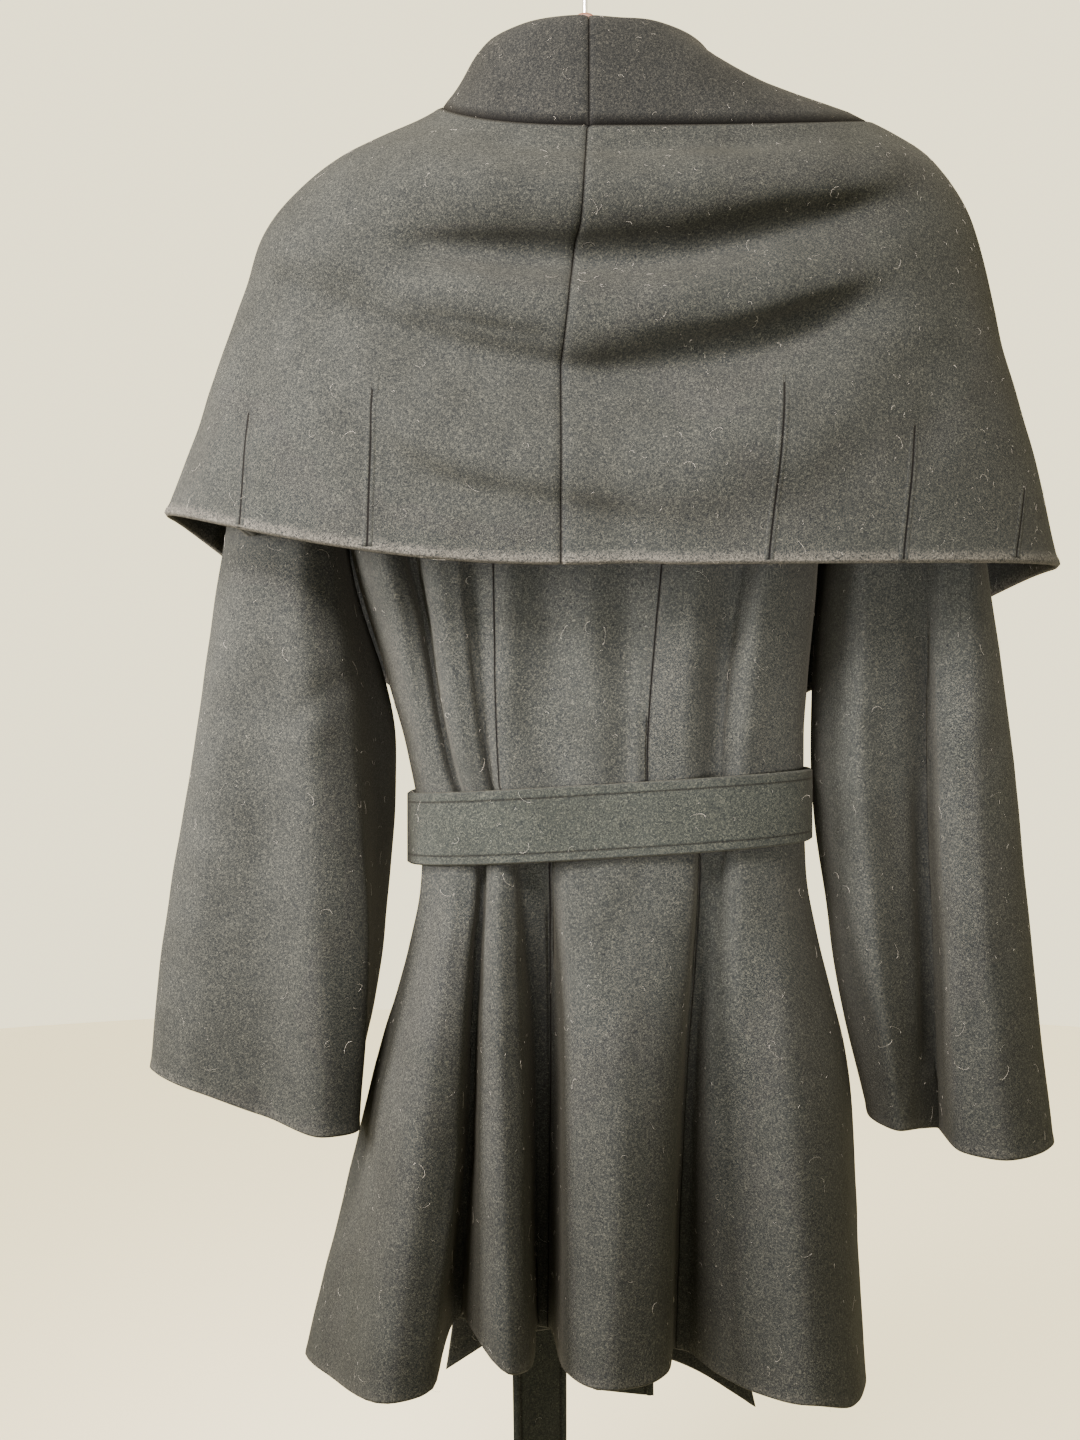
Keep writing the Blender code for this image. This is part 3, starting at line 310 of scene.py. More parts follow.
# Soft ridges (+) and troughs (-) laid on the back (1) or front (-1) of
# a part of the coat: a line of x and z, its width and its depth
SOFTS = {
    ("body", 1): [
        (((4, -455), (-6, -520), (-12, -590)), 9, 1.2),
        (((44, -470), (38, -540), (22, -592)), 7, -1.0),
        (((-30, -500), (-34, -560), (-48, -592)), 7, -0.9),
        (((20, -560), (16, -590)), 4, -1.0),
        (((-10, -566), (-8, -592)), 4, 0.9),
        (((-88, -470), (-86, -540), (-82, -592)), 7, -3.0),
        (((-108, -450), (-103, -530), (-95, -592)), 5, 2.2),
        (((60, -625), (58, -660)), 4, -1.0),
        (((0, -625), (-4, -668)), 5, -1.0),
        (((-34, -625), (-32, -655)), 4, -0.9),
        (((-90, -625), (-94, -672)), 5, -1.0),
        (((-120, -630), (-128, -690)), 6, 0.9),
        (((-110, -720), (-104, -860), (-110, -950)), 16, -1.6),
        (((-30, -700), (-26, -830), (-20, -940)), 12, -1.0),
    ],
    ("body", -1): [
        (((-90, -470), (-70, -540), (-40, -590)), 9, -1.6),
        (((-120, -500), (-100, -560), (-70, -592)), 8, 1.4),
        (((60, -500), (52, -560), (40, -592)), 9, -1.4),
        (((-70, -625), (-76, -690)), 6, -1.2),
        (((-20, -625), (-14, -700)), 7, -1.2),
        (((70, -625), (78, -680)), 6, -1.2),
    ],
    ("sleeve_left", 1): [
        (((238, -480), (225, -540), (215, -600), (216, -680)), 13, -1.8),
        (((150, -512), (172, -524), (196, -548)), 8, -2.2),
        (((158, -540), (182, -556), (206, -560)), 8, 1.8),
        (((262, -560), (240, -590), (206, -602)), 11, 1.4),
        (((270, -640), (250, -668), (222, -676)), 11, -1.4),
        (((178, -640), (170, -720), (166, -800)), 9, 1.3),
    ],
    ("sleeve_left", -1): [
        (((240, -470), (220, -560), (214, -680)), 13, -2.0),
        (((150, -530), (186, -560), (214, -566)), 9, -1.8),
        (((268, -600), (236, -640), (196, -650)), 12, 1.6),
    ],
    ("sleeve_right", 1): [
        (((-190, -470), (-194, -560), (-205, -680)), 12, -1.4),
        (((-219, -560), (-225, -660), (-229, -800)), 7, -4.5),
        (((-238, -540), (-240, -660), (-243, -800)), 5, 2.0),
        (((-268, -520), (-262, -620), (-270, -740)), 11, -1.2),
        (((-160, -520), (-180, -545), (-204, -552)), 9, -1.6),
        (((-282, -560), (-262, -588), (-240, -594)), 10, 1.2),
    ],
    ("sleeve_right", -1): [
        (((-240, -470), (-236, -580), (-250, -700)), 13, -2.0),
        (((-168, -530), (-196, -560), (-226, -568)), 9, -1.8),
    ],
    ("cape", 1): [
        (((206, -288), (214, -330), (208, -372)), 15, -3.0),
        (((84, -184), (0, -190), (-90, -184), (-160, -172)), 10, -3.2),
        (((132, -243), (80, -254), (10, -260), (-60, -252), (-120, -233), (-178, -206)), 13, -6.4),
        (((202, -247), (160, -270), (104, -297), (40, -314), (0, -318)), 13, -7.0),
        (((0, -318), (-50, -316), (-100, -307), (-150, -290), (-200, -272)), 13, -5.0),
        (((110, -212), (20, -220), (-60, -216), (-120, -202)), 13, 3.4),
        (((120, -268), (40, -286), (-50, -286), (-110, -266)), 13, 3.6),
        (((176, -262), (150, -300), (112, -338), (72, -366)), 12, 2.0),
        (((134, -318), (98, -360), (74, -390), (36, -408)), 12, -2.4),
        (((-206, -300), (-214, -350), (-196, -392)), 18, -3.2),
        (((-240, -250), (-262, -330), (-276, -400)), 16, 1.6),
        (((240, -330), (258, -380), (262, -415)), 12, -1.4),
        (((60, -172), (10, -180), (-40, -176)), 8, 1.6),
        (((-60, -390), (-96, -372), (-128, -336)), 16, 2.0),
    ],
    ("cape", -1): [
        (((150, -220), (110, -300), (80, -400)), 18, -3.0),
        (((-150, -220), (-104, -300), (-70, -400)), 18, -3.0),
        (((200, -260), (170, -350), (140, -440)), 16, 2.4),
        (((-210, -260), (-176, -350), (-140, -440)), 16, 2.4),
    ],
    ("band", 1): [
        (((62, -118), (38, -140), (10, -150)), 9, -1.4),
        (((-20, -96), (-64, -112), (-110, -126)), 10, 1.2),
        (((-90, -112), (-130, -130), (-168, -136)), 7, -1.6),
    ],
}

# Dart seams of the cape's lower edge, from top to bottom: x and z
DARTS = {
    "dart_left_outer": ((214, -340), (219, -424)),
    "dart_left_inner": ((132, -330), (136, -437)),
    "dart_right_inner": ((-119, -324), (-108, -448)),
    "dart_right_middle": ((-202, -350), (-193, -446)),
    "dart_right_outer": ((-281, -389), (-271, -440)),
}

# Grid steps
BODY_STEPS_ACROSS = 6
BODY_ROWS_TOP = 22
BODY_ROWS_CHEST = 26
BODY_ROWS_BELT = 8
BODY_ROWS_SKIRT = 46
SLEEVE_STEPS_ROUND = 9
SLEEVE_ROWS = 84
COLLAR_STEPS_ROUND = 312
BAND_STEPS = 36
CAPE_STEPS = 80
EDGE_ROWS = np.array([9, 6.5, 4.6, 3.2, 2.1, 1.2, 0.5]) * MM

# Seams and edges
SEAM_WIDTH = 1.8 * MM
SEAM_DEPTH = 0.9 * MM
SEAM_SHADE = 0.6 * MM
RIM_WIDTH = 5 * MM
RIM_SWELL = {"hem": 0.4 * MM, "roll": 1.1 * MM}
RIM_SWELL_UNDER = 0.4
# How much painted highlight, paler wool, lies along each kind of edge
RIM_HIGHLIGHT = {"hem": 0.25, "roll": 1.0}
EDGE_BLUNT = 0.1
EDGE_ROUND = 0.85
# Lengths of the cloth's uneven waves, and their height for each metre of length
WAVES = (34 * MM, 52 * MM, 85 * MM, 120 * MM)
WAVE_HEIGHT = 0.0022
HIDDEN = ("hidden", "hidden", "hidden", "hidden")
# Columns added beside a side edge: distance in and the most it takes of a step
EDGE_COLUMNS = ((0.5 * MM, 0.22), (1.2 * MM, 0.5), (2.2 * MM, 0.78))

# sRGB colours, matched to the coat under the stage's light
WOOL_DARK = "#0B0D10"
WOOL_MEAN = "#181A1B"
WOOL_PALE = "#343532"
# Painted highlight of the rolled and hemmed edges
WOOL_RIM_HIGHLIGHT = "#3E3D3B"
# Painted shade in the grooves of seams and stitching
SEAM_SHADE_BLACK = "#060607"
THREAD_BLACK = "#19191A"
LINT_GREY = "#807E7B"
BEECH_DARK = "#2E150B"
BEECH_RED = "#5A2C18"
FLOOR_CREAM = "#F5F0E0"
WORLD_CREAM = "#FCF0C8"
NAP_SHEEN = "#C9C6B8"
WIRE_DULL = "#B4B4B8"
WIRE_BRIGHT = "#D8D8DA"
WINDOW_CREAM = "#FFF3E6"

# Stage. A light: name, place, target, size, share of the key's power, spread in degrees
LIGHTS = [
    ("window", (0.52, 0.92, 0.42), (0.04, 0.05, -0.33), 0.5, 1.0, 80),
    ("side", (1.05, 0.45, -0.4), (0.2, 0.05, -0.55), 0.5, 0.55, 60),
    ("front", (-0.2, 1.1, -0.7), (-0.1, 0.05, -0.51), 0.3, 0.06, 30),
]
FLOOR_Z = -1.45
FLOOR_RADIUS = 4.0
CAMERA_PLACE = (0.0306, 1.10, -0.543)
CAMERA_LENS = 40.44
CAMERA_SENSOR = 36


def spline(knots, values, at):
    """Smooth curve through the values that never swings past them."""
    knots = np.asarray(knots, float)
    values = np.asarray(values, float)
    at = np.clip(np.asarray(at, float), knots[0], knots[-1])
    step = np.diff(knots)
    rise = np.diff(values) / step
    slope = np.zeros(len(knots))
    slope[0], slope[-1] = rise[0], rise[-1]
    for i in range(1, len(knots) - 1):
        if rise[i - 1] * rise[i] > 0:
            before, after = step[i - 1], step[i]
            slope[i] = 3 * (before + after) / (
                (2 * after + before) / rise[i - 1] + (after + 2 * before) / rise[i])
    cell = np.clip(np.searchsorted(knots, at, side="right") - 1, 0, len(step) - 1)
    t = (at - knots[cell]) / step[cell]
    a, b = values[cell], values[cell + 1]
    da, db = slope[cell] * step[cell], slope[cell + 1] * step[cell]
    return (a * (1 + 2 * t) * (1 - t) ** 2 + da * t * (1 - t) ** 2
            + b * t * t * (3 - 2 * t) + db * t * t * (t - 1))


def through(points, fractions, closed=False):
    """Points on a smooth curve through the given ones, at index fractions."""
    points = np.asarray(points, float)
    pad = 3 if closed else 0
    if closed:
        points = np.vstack([points[-pad:], points, points[:pad + 1]])
    chord = np.sqrt(np.linalg.norm(np.diff(points, axis=0), axis=1) + 1e-9)
    knots = np.concatenate([[0], np.cumsum(chord)])
    at = np.interp(np.asarray(fractions) + pad, np.arange(len(points)), knots)
    return np.column_stack([spline(knots, points[:, axis], at) for axis in range(3)])


def unit(vectors):
    """The vectors at length one."""
    length = np.linalg.norm(vectors, axis=-1, keepdims=True)
    return vectors / np.maximum(length, 1e-12)


def smooth(t):
    """A soft step from 0 to 1."""
    t = np.clip(t, 0, 1)
    return t * t * (3 - 2 * t)


def shoulder_height(x):
    """Height of the shoulder line at a distance from the middle."""
    run = (abs(x) - NECK_HALF) / (SHOULDER_HALF - NECK_HALF)
    return Z_SHOULDER_NECK + (Z_SHOULDER_TIP - Z_SHOULDER_NECK) * min(max(run, -0.35), 1.0)


def waist_depth(x, front):
    """How far the waist oval lies from y = 0 at x."""
    reach = min(abs(x - WAIST_X) / WAIST_HALF, 1.0)
    return front * (1 - reach ** WAIST_SQUARE) ** (1 / WAIST_SQUARE)


def body_top(fold):
    """Height at which a fold's line ends: shoulder, neck or armhole."""
    if fold.top is not None:
        return fold.top * MM
    x = fold.x[0] * MM
    if abs(x) < NECK_HALF - MM and fold.y[0] > 0:
        rise = 1 - (x / NECK_HALF) ** 2
        return Z_SHOULDER_NECK - NECK_DIP * rise ** 0.6
    return shoulder_height(x)


def body_line(fold, side, heights):
    """Points of one fold's line at the given heights."""
    x_top, x_cape, x_waist, x_belt, x_mid, x_hem = [v * MM for v in fold.x]
    y_chest, y_cape, in_waist, in_belt, y_mid, y_hem = [v * MM for v in fold.y]
    front = {"under": -WAIST_FRONT_UNDER, "over": -WAIST_FRONT_OVER}.get(side)
    depth = WAIST_BACK if front is None else front
    sign = 1 if front is None else -1
    y_waist = waist_depth(x_waist, depth) - sign * in_waist
    y_belt = waist_depth(x_belt, depth) - sign * in_belt
    levels = [-fold.hem * MM, -Z_MID, -Z_BELT, -Z_WAIST, -Z_CAPE, -Z_CHEST]
    down = -np.asarray(heights)
    z_ridge = shoulder_height(x_top)
    x_chest = x_top * 0.75 + x_cape * 0.25
    x = spline([-z_ridge] + levels[::-1], [x_top, x_chest, x_cape, x_waist, x_belt, x_mid, x_hem], down)
    y = spline(levels[::-1], [y_chest, y_cape, y_waist, y_belt, y_mid, y_hem], down)
    lift = np.clip((z_ridge - np.asarray(heights)) / SHOULDER_ROLL, 0, 1)
    turn = np.arccos(1 - lift)
    y = y * np.sin(turn)
    return np.column_stack([x, y, heights])


def body_heights(fold):
    """Heights of the grid's rows down one fold, close together at the hem."""
    top = body_top(fold)
    z_ridge = shoulder_height(fold.x[0] * MM)
    turn_top = math.acos(1 - min(max((z_ridge - top) / SHOULDER_ROLL, 0), 1))
    steps = np.linspace(0, 1, BODY_ROWS_TOP + 1)[:-1]
    if turn_top < 1.2:
        arc_end = z_ridge - SHOULDER_ROLL
        even = turn_top + (math.pi / 2 - turn_top) * np.minimum(steps * 1.6, 1) ** 1.4
        arc = z_ridge - SHOULDER_ROLL * (1 - np.cos(even))
        fall = arc_end + (Z_CAPE - arc_end) * np.maximum(steps * 1.6 - 1, 0) / 0.6
        upper = np.where(steps * 1.6 < 1, arc, fall)
    else:
        upper = top + (Z_CAPE - top) * steps
    hem = fold.hem * MM
    return np.concatenate([
        upper,
        np.linspace(Z_CAPE, Z_WAIST, BODY_ROWS_CHEST + 1)[:-1],
        np.linspace(Z_WAIST, Z_BELT, BODY_ROWS_BELT + 1)[:-1],
        np.linspace(Z_BELT, hem + EDGE_ROWS[0], BODY_ROWS_SKIRT + 1)[:-1],
        hem + EDGE_ROWS,
        [hem],
    ])


def fold_side(index):
    """Which layer of the coat a fold belongs to."""
    if index < len(FRONT_UNDER):
        return "under"
    if index < len(FRONT_UNDER) + len(BACK):
        return "back"
    return "over"


def body_grid():
    """The whole coat body as one grid: rows down, columns across its folds."""
    lines = [body_line(fold, fold_side(i), body_heights(fold)) for i, fold in enumerate(BODY_FOLDS)]
    lines = np.array(lines)
    fractions = np.arange(0, len(BODY_FOLDS) - 1 + 1e-6, 1 / BODY_STEPS_ACROSS)
    grid = np.array([through(lines[:, row], fractions) for row in range(lines.shape[1])])
    tops = grid[0]
    first_back = len(FRONT_UNDER) * BODY_STEPS_ACROSS
    last_back = (len(FRONT_UNDER) + len(BACK) - 1) * BODY_STEPS_ACROSS
    tops[first_back:last_back + 1, 1] = np.maximum(tops[first_back:last_back + 1, 1], DRAWN_IN)
    tops[:first_back, 1] = np.minimum(tops[:first_back, 1], -DRAWN_IN)
    tops[last_back + 1:, 1] = np.minimum(tops[last_back + 1:, 1], -DRAWN_IN)
    return grid


def grid_normals(grid, wrap=False):
    """Normal at each point of a grid, on the right of its rows and columns."""
    down = np.gradient(grid, axis=0)
    if wrap:
        ring = np.concatenate([grid[:, -1:], grid, grid[:, :1]], axis=1)
        across = np.gradient(ring, axis=1)[:, 1:-1]
    else:
        across = np.gradient(grid, axis=1)
    return unit(np.cross(across, down))


def armhole(grid, normals, side):
    """Loop of points round an armhole from the shoulder tip by way of the back,
    with the body's outward normal and its downward direction at each."""
    ends = [FOLD_AT[f"tip_{part}_{side}"] * BODY_STEPS_ACROSS for part in ("back", "front")]
    step = 1 if ends[1] > ends[0] else -1
    columns = list(range(ends[0], ends[1] + step, step))
    loop = grid[0, columns]
    down = unit(grid[1, columns] - grid[0, columns])
    return loop, normals[0, columns], down


def sleeve_grid(creases, body, body_normals, side):
    """A sleeve as a grid: rows from the armhole down, columns round it."""
    loop, outward, down = armhole(body, body_normals, side)
    middle = loop.mean(axis=0)
    facing = np.sign(np.sum(outward * (loop - middle + [0.3 * np.sign(middle[0]), 0, 0]), axis=1))
    outward = outward * facing[:, None]
    start = loop + outward * LAP * 1.05 + down * SLEEVE_HEAD
    length = np.concatenate([[0], np.cumsum(np.linalg.norm(np.diff(start, axis=0), axis=1))])
    length /= length[-1]
    levels = [Z_CAPE, Z_ELBOW, Z_FOREARM]
    last = 4 - EDGE_ROWS / (110 * MM)
    reach = np.concatenate([
        np.linspace(0, 1, SLEEVE_ROWS // 3)[:-1],
        np.linspace(1, last[0], SLEEVE_ROWS - SLEEVE_ROWS // 3)[:-1], last, [4]])
    rows = []
    for crease in creases:
        knots = [[np.interp(crease.start, length, start[:, axis]) for axis in range(3)]]
        for x, y, z in zip(crease.x, crease.y, levels + [crease.cuff * MM]):
            knots.append([x * MM, y * MM, z])
        rows.append(through(knots, reach))
    rows = np.array(rows)
    fractions = np.arange(0, len(creases) - 1e-6, 1 / SLEEVE_STEPS_ROUND)
    grid = np.array([through(rows[:, row], fractions, closed=True) for row in range(rows.shape[1])])
    starts = [crease.start for crease in creases] + [1.0]
    around = np.interp(fractions, range(len(starts)), starts)
    head = np.column_stack([np.interp(around, length, start[:, axis]) for axis in range(3)])
    settle = smooth(1 - np.linspace(0, 1, SLEEVE_ROWS // 3))[:, None, None]
    grid[:len(settle)] += (head - grid[0]) * settle
    return grid


def ring_points(ring, turns):
    """Points of a collar ring. turns runs from -1 at the right front end by
    way of 0 at the centre back to 1 at the left front end."""
    points = []
    for turn in turns:
        left = turn > 0
        side = (ring.left if left else ring.right) * MM
        z_side = (ring.z_left if left else ring.z_right) * MM
        sign = 1 if left else -1
        angle = abs(turn) * math.pi
        if angle <= math.pi / 2:
            x = side * math.sin(angle) ** 0.9
            y = ring.back * MM * math.cos(angle) ** 0.85
            z = z_side + (ring.z_back * MM - z_side) * math.cos(angle) ** ring.level
        else:
            angle -= math.pi / 2
            end = ring.past * MM
            x = end + (side - end) * math.cos(angle) ** (0.73 + 3.3 * end)
            y = -(ring.front * MM + (0 if left else LAPEL_OVER)) * math.sin(angle) ** 0.8
            flat = smooth((angle - 1.2) / 0.3)
            y = y * (1 - flat) - (LAPEL_END_LEFT if left else LAPEL_END_RIGHT) * flat
            z = z_side + (ring.z_front * MM - z_side) * (1 - math.cos(angle))
        points.append((sign * x, y, z))
    return np.array(points)


def neck_base(turns, body):
    """Lower edge of the collar, just inside the neck and the front edges."""
    first, last = [FOLD_AT[name] * BODY_STEPS_ACROSS for name in ("seam_left", "seam_right")]
    neck = body[0, first:last + 1][::-1].copy()
    run = unit(np.gradient(neck, axis=0) * [1, 1, 0])
    neck += np.column_stack([-run[:, 1], run[:, 0], 0 * run[:, 0]]) * -LAP * NECK_SLACK
    neck[:, 2] -= NECK_LAP * np.clip(neck[:, 1] / NECK_SHELF, 0.3, 1)
    along = np.linspace(-0.5, 0.5, len(neck))
    points = []
    for turn in turns:
        if abs(turn) <= 0.5:
            point = np.array([np.interp(turn, along, neck[:, axis]) for axis in range(3)])
        else:
            edge = body[:, 0] if turn > 0 else body[:, -1]
            sink = 1 - math.cos((abs(turn) - 0.5) * math.pi)
            z = neck[0, 2] + (LAPEL_LOW - neck[0, 2]) * sink
            point = np.array([np.interp(-z, -edge[:, 2], edge[:, axis]) for axis in range(3)])
            blend = min(max((abs(turn) - FRONT_START) / FRONT_BLEND, 0), 1)
            point[0] += math.copysign(1, turn) * (EDGE_LAP * blend - LAP * NECK_SLACK * (1 - blend))
            slack = NECK_SLACK + np.interp(abs(turn), LAPEL_TAPER, (LAPEL_SLACK, 0))
            point[1] += LAP * slack * math.sqrt(blend)
            point[2] = z
        points.append(point)
    return np.array(points)


def swag_shift(points):
    """How far the swags move points of the cape's back along their normals."""
    shift = np.zeros(points.shape[:-1])
    x, y, z = points[..., 0], points[..., 1], points[..., 2]
    for swag in SWAGS:
        (x_l, z_l), (x_m, z_m), (x_r, z_r) = [(a * MM, b * MM) for a, b in (swag.left, swag.low, swag.right)]
        run = np.where(x > x_m, (x - x_m) / (x_l - x_m), (x - x_m) / (x_r - x_m))
        end = np.where(x > x_m, z_l, z_r)
        reach = np.clip(run, 0, SWAG_REACH)
        centre = z_m + (end - z_m) * reach ** SWAG_BEND
        width = np.where(x > x_m, x_l - x_m, x_m - x_r)
        slope = SWAG_BEND * (end - z_m) * reach ** (SWAG_BEND - 1) / width
        near = (z - centre) / np.hypot(1, slope)
        fade = smooth((1.25 - run) * 2)
        inside = np.clip(y / (40 * MM), 0, 1)
        shift += swag.depth * MM * fade * inside * np.exp(-(near / (swag.width * MM)) ** 2)
    return shift


def collar_grid(body):
    """The whole collar as one grid: rows from the neck seam to the free edge,
    columns from the right front end round to the left one."""
    turns = np.linspace(-1, 1, COLLAR_STEPS_ROUND + 1)
    turns = np.sign(turns) * np.abs(turns) ** COLUMN_CROWD
    base = neck_base(turns, body)
    rings = [ring_points(ring, turns) for ring in COLLAR_RINGS]
    roll, seam = rings[0], rings[1]
    away = unit((seam - base) * [1, 1, 0])
    size = np.interp(np.abs(turns), ROLL_TURNS, ROLL_SIZES)[:, None] * MM
    front = np.clip((np.abs(turns) - FRONT_START) / FRONT_BLEND, 0, 1)[:, None]
    beyond = np.sign(turns)[:, None] * [-1, 0, 0]
    upright = np.clip((FRONT_START - np.abs(turns)) / UPRIGHT_BLEND, 0, 1)[:, None] * [0, 0, 1]
    toward = unit(unit(roll - base) * (1 - upright[:, 2:]) + upright)
    stand = base + unit(toward * (1 - front) + beyond * front) * STAND_RISE
    inner = roll - away * size + np.array([0, 0, -1.2]) * size
    fall = roll + away * size + np.array([0, 0, -1.0]) * size
    lines = np.array([base, stand, inner, roll, fall] + rings[1:])
    band = np.linspace(0, 5, BAND_STEPS + 1)
    last = 10 - EDGE_ROWS / (70 * MM)
    cape = np.concatenate([np.linspace(5, last[0], CAPE_STEPS + 1)[1:-1], last, [10]])
    fractions = np.concatenate([band, cape])
    grid = np.array([through(lines[:, column], fractions) for column in range(lines.shape[1])])
    grid = grid.transpose(1, 0, 2)
    heights, drift = np.array(CENTRE_SEAM).T * MM
    near = np.exp(-(grid[..., 0] / CENTRE_EASE) ** 2) * (grid[..., 1] > 0)
    cape_rows = slice(BAND_STEPS + 1, None)
    grid[cape_rows, :, 0] += (near * np.interp(grid[..., 2], heights, drift))[cape_rows]
    normals = grid_normals(grid)
    shift = swag_shift(grid)[..., None]
    outward = np.sign(np.sum(normals * [0, 1, 0], axis=-1, keepdims=True))
    sag = np.array([0, 0, -SWAG_SAG])
    grid[cape_rows] += ((normals * outward + sag) * shift)[cape_rows]
    return turns, grid


def line_shift(points, line, width, depth):
    """Depth of a soft line of x and z at points, faded towards its two ends."""
    line = np.array(line) * MM
    x, z = points[..., 0], points[..., 2]
    lengths = np.linalg.norm(np.diff(line, axis=0), axis=1)
    total = lengths.sum()
    nearest = np.full(x.shape, 1e9)
    along = np.zeros(x.shape)
    before = 0.0
    for (ax, az), (bx, bz), length in zip(line[:-1], line[1:], lengths):
        t = np.clip(((x - ax) * (bx - ax) + (z - az) * (bz - az)) / length ** 2, 0, 1)
        away = np.hypot(x - ax - t * (bx - ax), z - az - t * (bz - az))
        closer = away < nearest
        nearest = np.where(closer, away, nearest)
        along = np.where(closer, before + t * length, along)
        before += length
    ends = smooth(np.minimum(along, total - along) / (0.3 * total) + 0.1)
    return depth * MM * ends * np.exp(-(nearest / (width * MM)) ** 2)


def creased(part, grid, normals, middle=None):
    """The grid with the part's own soft lines and a slight wander of the cloth."""
    outward = normals if middle is None else normals * np.sign(
        np.sum(normals * (grid - middle), axis=-1, keepdims=True))
    shift = np.zeros(grid.shape[:-1])
    for face in (1, -1):
        facing = smooth(outward[..., 1] * face * 2.5)
        for line, width, depth in SOFTS.get((part, face), ()):
            shift += facing * line_shift(grid, line, width, depth)
    shift += wander(grid, len(part))
    return grid + outward * shift[..., None]


def wander(points, seed):
    """Low uneven waves such as any hanging cloth has, under a millimetre high."""
    random = np.random.default_rng(seed)
    shift = np.zeros(points.shape[:-1])
    for wave in WAVES:
        for turn in range(3):
            direction = unit(random.normal(size=3))
            phase = random.uniform(0, 2 * math.pi)
            shift += np.sin(points @ direction * 2 * math.pi / wave + phase) * wave
    return shift * WAVE_HEIGHT


def edge_lengths(grid, wrap):
    """Distance of each grid point from the top, bottom, left and right edge."""
    down = np.linalg.norm(np.diff(grid, axis=0), axis=2)
    from_top = np.vstack([np.zeros((1, grid.shape[1])), np.cumsum(down, axis=0)])
    from_bottom = from_top[-1:] - from_top
    if wrap:
        far = np.full(grid.shape[:2], 1e3)
        return from_top, from_bottom, far, far
    across = np.linalg.norm(np.diff(grid, axis=1), axis=2)
    from_left = np.hstack([np.zeros((grid.shape[0], 1)), np.cumsum(across, axis=1)])
    return from_top, from_bottom, from_left, from_left[:, -1:] - from_left


def with_edges(grid, edges):
    """The grid drawn in by half a seam's gap, with more columns along its sides."""
    for side, edge in (("left", edges[2]), ("right", edges[3])):
        columns = [grid[:, i] for i in range(grid.shape[1])]
        if side == "right":
            columns = columns[::-1]
        first, second = columns[0], columns[1]
        step = np.linalg.norm(second - first, axis=1, keepdims=True)
        way = (second - first) / np.maximum(step, 1e-9)
        drawn = first + way * (DRAWN_IN if edge == "seam" else 0)
        extra = [drawn + way * np.minimum(reach, step * share) for reach, share in EDGE_COLUMNS]
        columns = [drawn] + extra + columns[1:]
        if side == "right":
            columns = columns[::-1]
        grid = np.stack(columns, axis=1)
    return grid


def cloth(name, grid, normals, edges, material, thickness=CLOTH, wrap=False, relief=None, groove_shade=None):
    """A closed wall of cloth on a grid of points. edges says how the top,
    bottom, left and right edge is finished: seam, hem, roll, free or hidden.
    relief raises the outer face, and the shade mask after it paints shade where thread draws it in.
    Seams get painted shade along them, and rolled and hemmed edges a painted highlight."""
    half = np.full(grid.shape[:2], thickness / 2)
    outer, inner = half.copy(), half.copy()
    # Masks of painted highlight near rolled and hemmed edges, and of painted shade along seams
    rim, seam = np.zeros(grid.shape[:2]), np.zeros(grid.shape[:2])
    for finish, away in zip(edges, edge_lengths(grid, wrap)):
        if finish == "seam":
            outer -= SEAM_DEPTH * np.exp(-(away / SEAM_WIDTH) ** 2)
            # Painted shade along the seam's groove
            seam = np.maximum(seam, np.exp(-(away / SEAM_SHADE) ** 2))
        elif finish in RIM_SWELL:
            near = np.exp(-(away / RIM_WIDTH) ** 4)
            outer += RIM_SWELL[finish] * near
            inner += RIM_SWELL[finish] * near * RIM_SWELL_UNDER
            # Painted highlight: paler wool near the edge
            rim = np.maximum(rim, near * RIM_HIGHLIGHT[finish])
    if relief is not None:
        outer, seam = outer + relief, np.maximum(seam, groove_shade)
    rows, columns = grid.shape[:2]
    bm = bmesh.new()
    rim_highlight_layer = bm.verts.layers.float.new("rim")
    seam_shade_layer = bm.verts.layers.float.new("seam")

    def place(points, at):
        made = []
        for point, cell in zip(points.reshape(-1, 3), at):
            vert = bm.verts.new(point)
            vert[rim_highlight_layer] = rim[cell]
            vert[seam_shade_layer] = seam[cell]
            made.append(vert)
        return made

    cells = list(np.ndindex(*grid.shape[:2]))
    top = place(grid + normals * outer[..., None], cells)
    under = place(grid - normals * inner[..., None], cells)
    for r in range(rows - 1):
        for c in range(columns if wrap else columns - 1):
            a, b = r * columns + c, r * columns + (c + 1) % columns
            bm.faces.new((top[a], top[b], top[b + columns], top[a + columns]))
            bm.faces.new((under[a], under[a + columns], under[b + columns], under[b]))
    border = [(0, c) for c in range(columns)]
    if wrap:
        loops = [border, [(rows - 1, c) for c in range(columns)]]
    else:
        border += [(r, columns - 1) for r in range(1, rows)]
        border += [(rows - 1, c) for c in range(columns - 2, -1, -1)]
        border += [(r, 0) for r in range(rows - 2, 0, -1)]
        loops = [border]
    for loop in loops:
        middle = []
        for r, c in loop:
            push = np.zeros(3)
            for at, finish, toward in (
                    (r == 0, edges[0], (1, 0)), (r == rows - 1, edges[1], (-1, 0)),
                    (c == 0 and not wrap, edges[2], (0, 1)),
                    (c == columns - 1 and not wrap, edges[3], (0, -1))):
                if at:
                    inside = grid[r + toward[0], c + toward[1]]
                    reach = EDGE_BLUNT if finish == "seam" else EDGE_ROUND
                    push += unit(grid[r, c] - inside) * (outer[r, c] + inner[r, c]) / 2 * reach
            middle.append(grid[r, c] + push)
        verts = place(np.array(middle), loop)
        for i, (r, c) in enumerate(loop):
            j = (i + 1) % len(loop)
            a, b = r * columns + c, loop[j][0] * columns + loop[j][1]
            bm.faces.new((top[a], verts[i], verts[j], top[b]))
            bm.faces.new((verts[i], under[a], under[b], verts[j]))
    bmesh.ops.recalc_face_normals(bm, faces=bm.faces)
    return finished(name, bm, material)


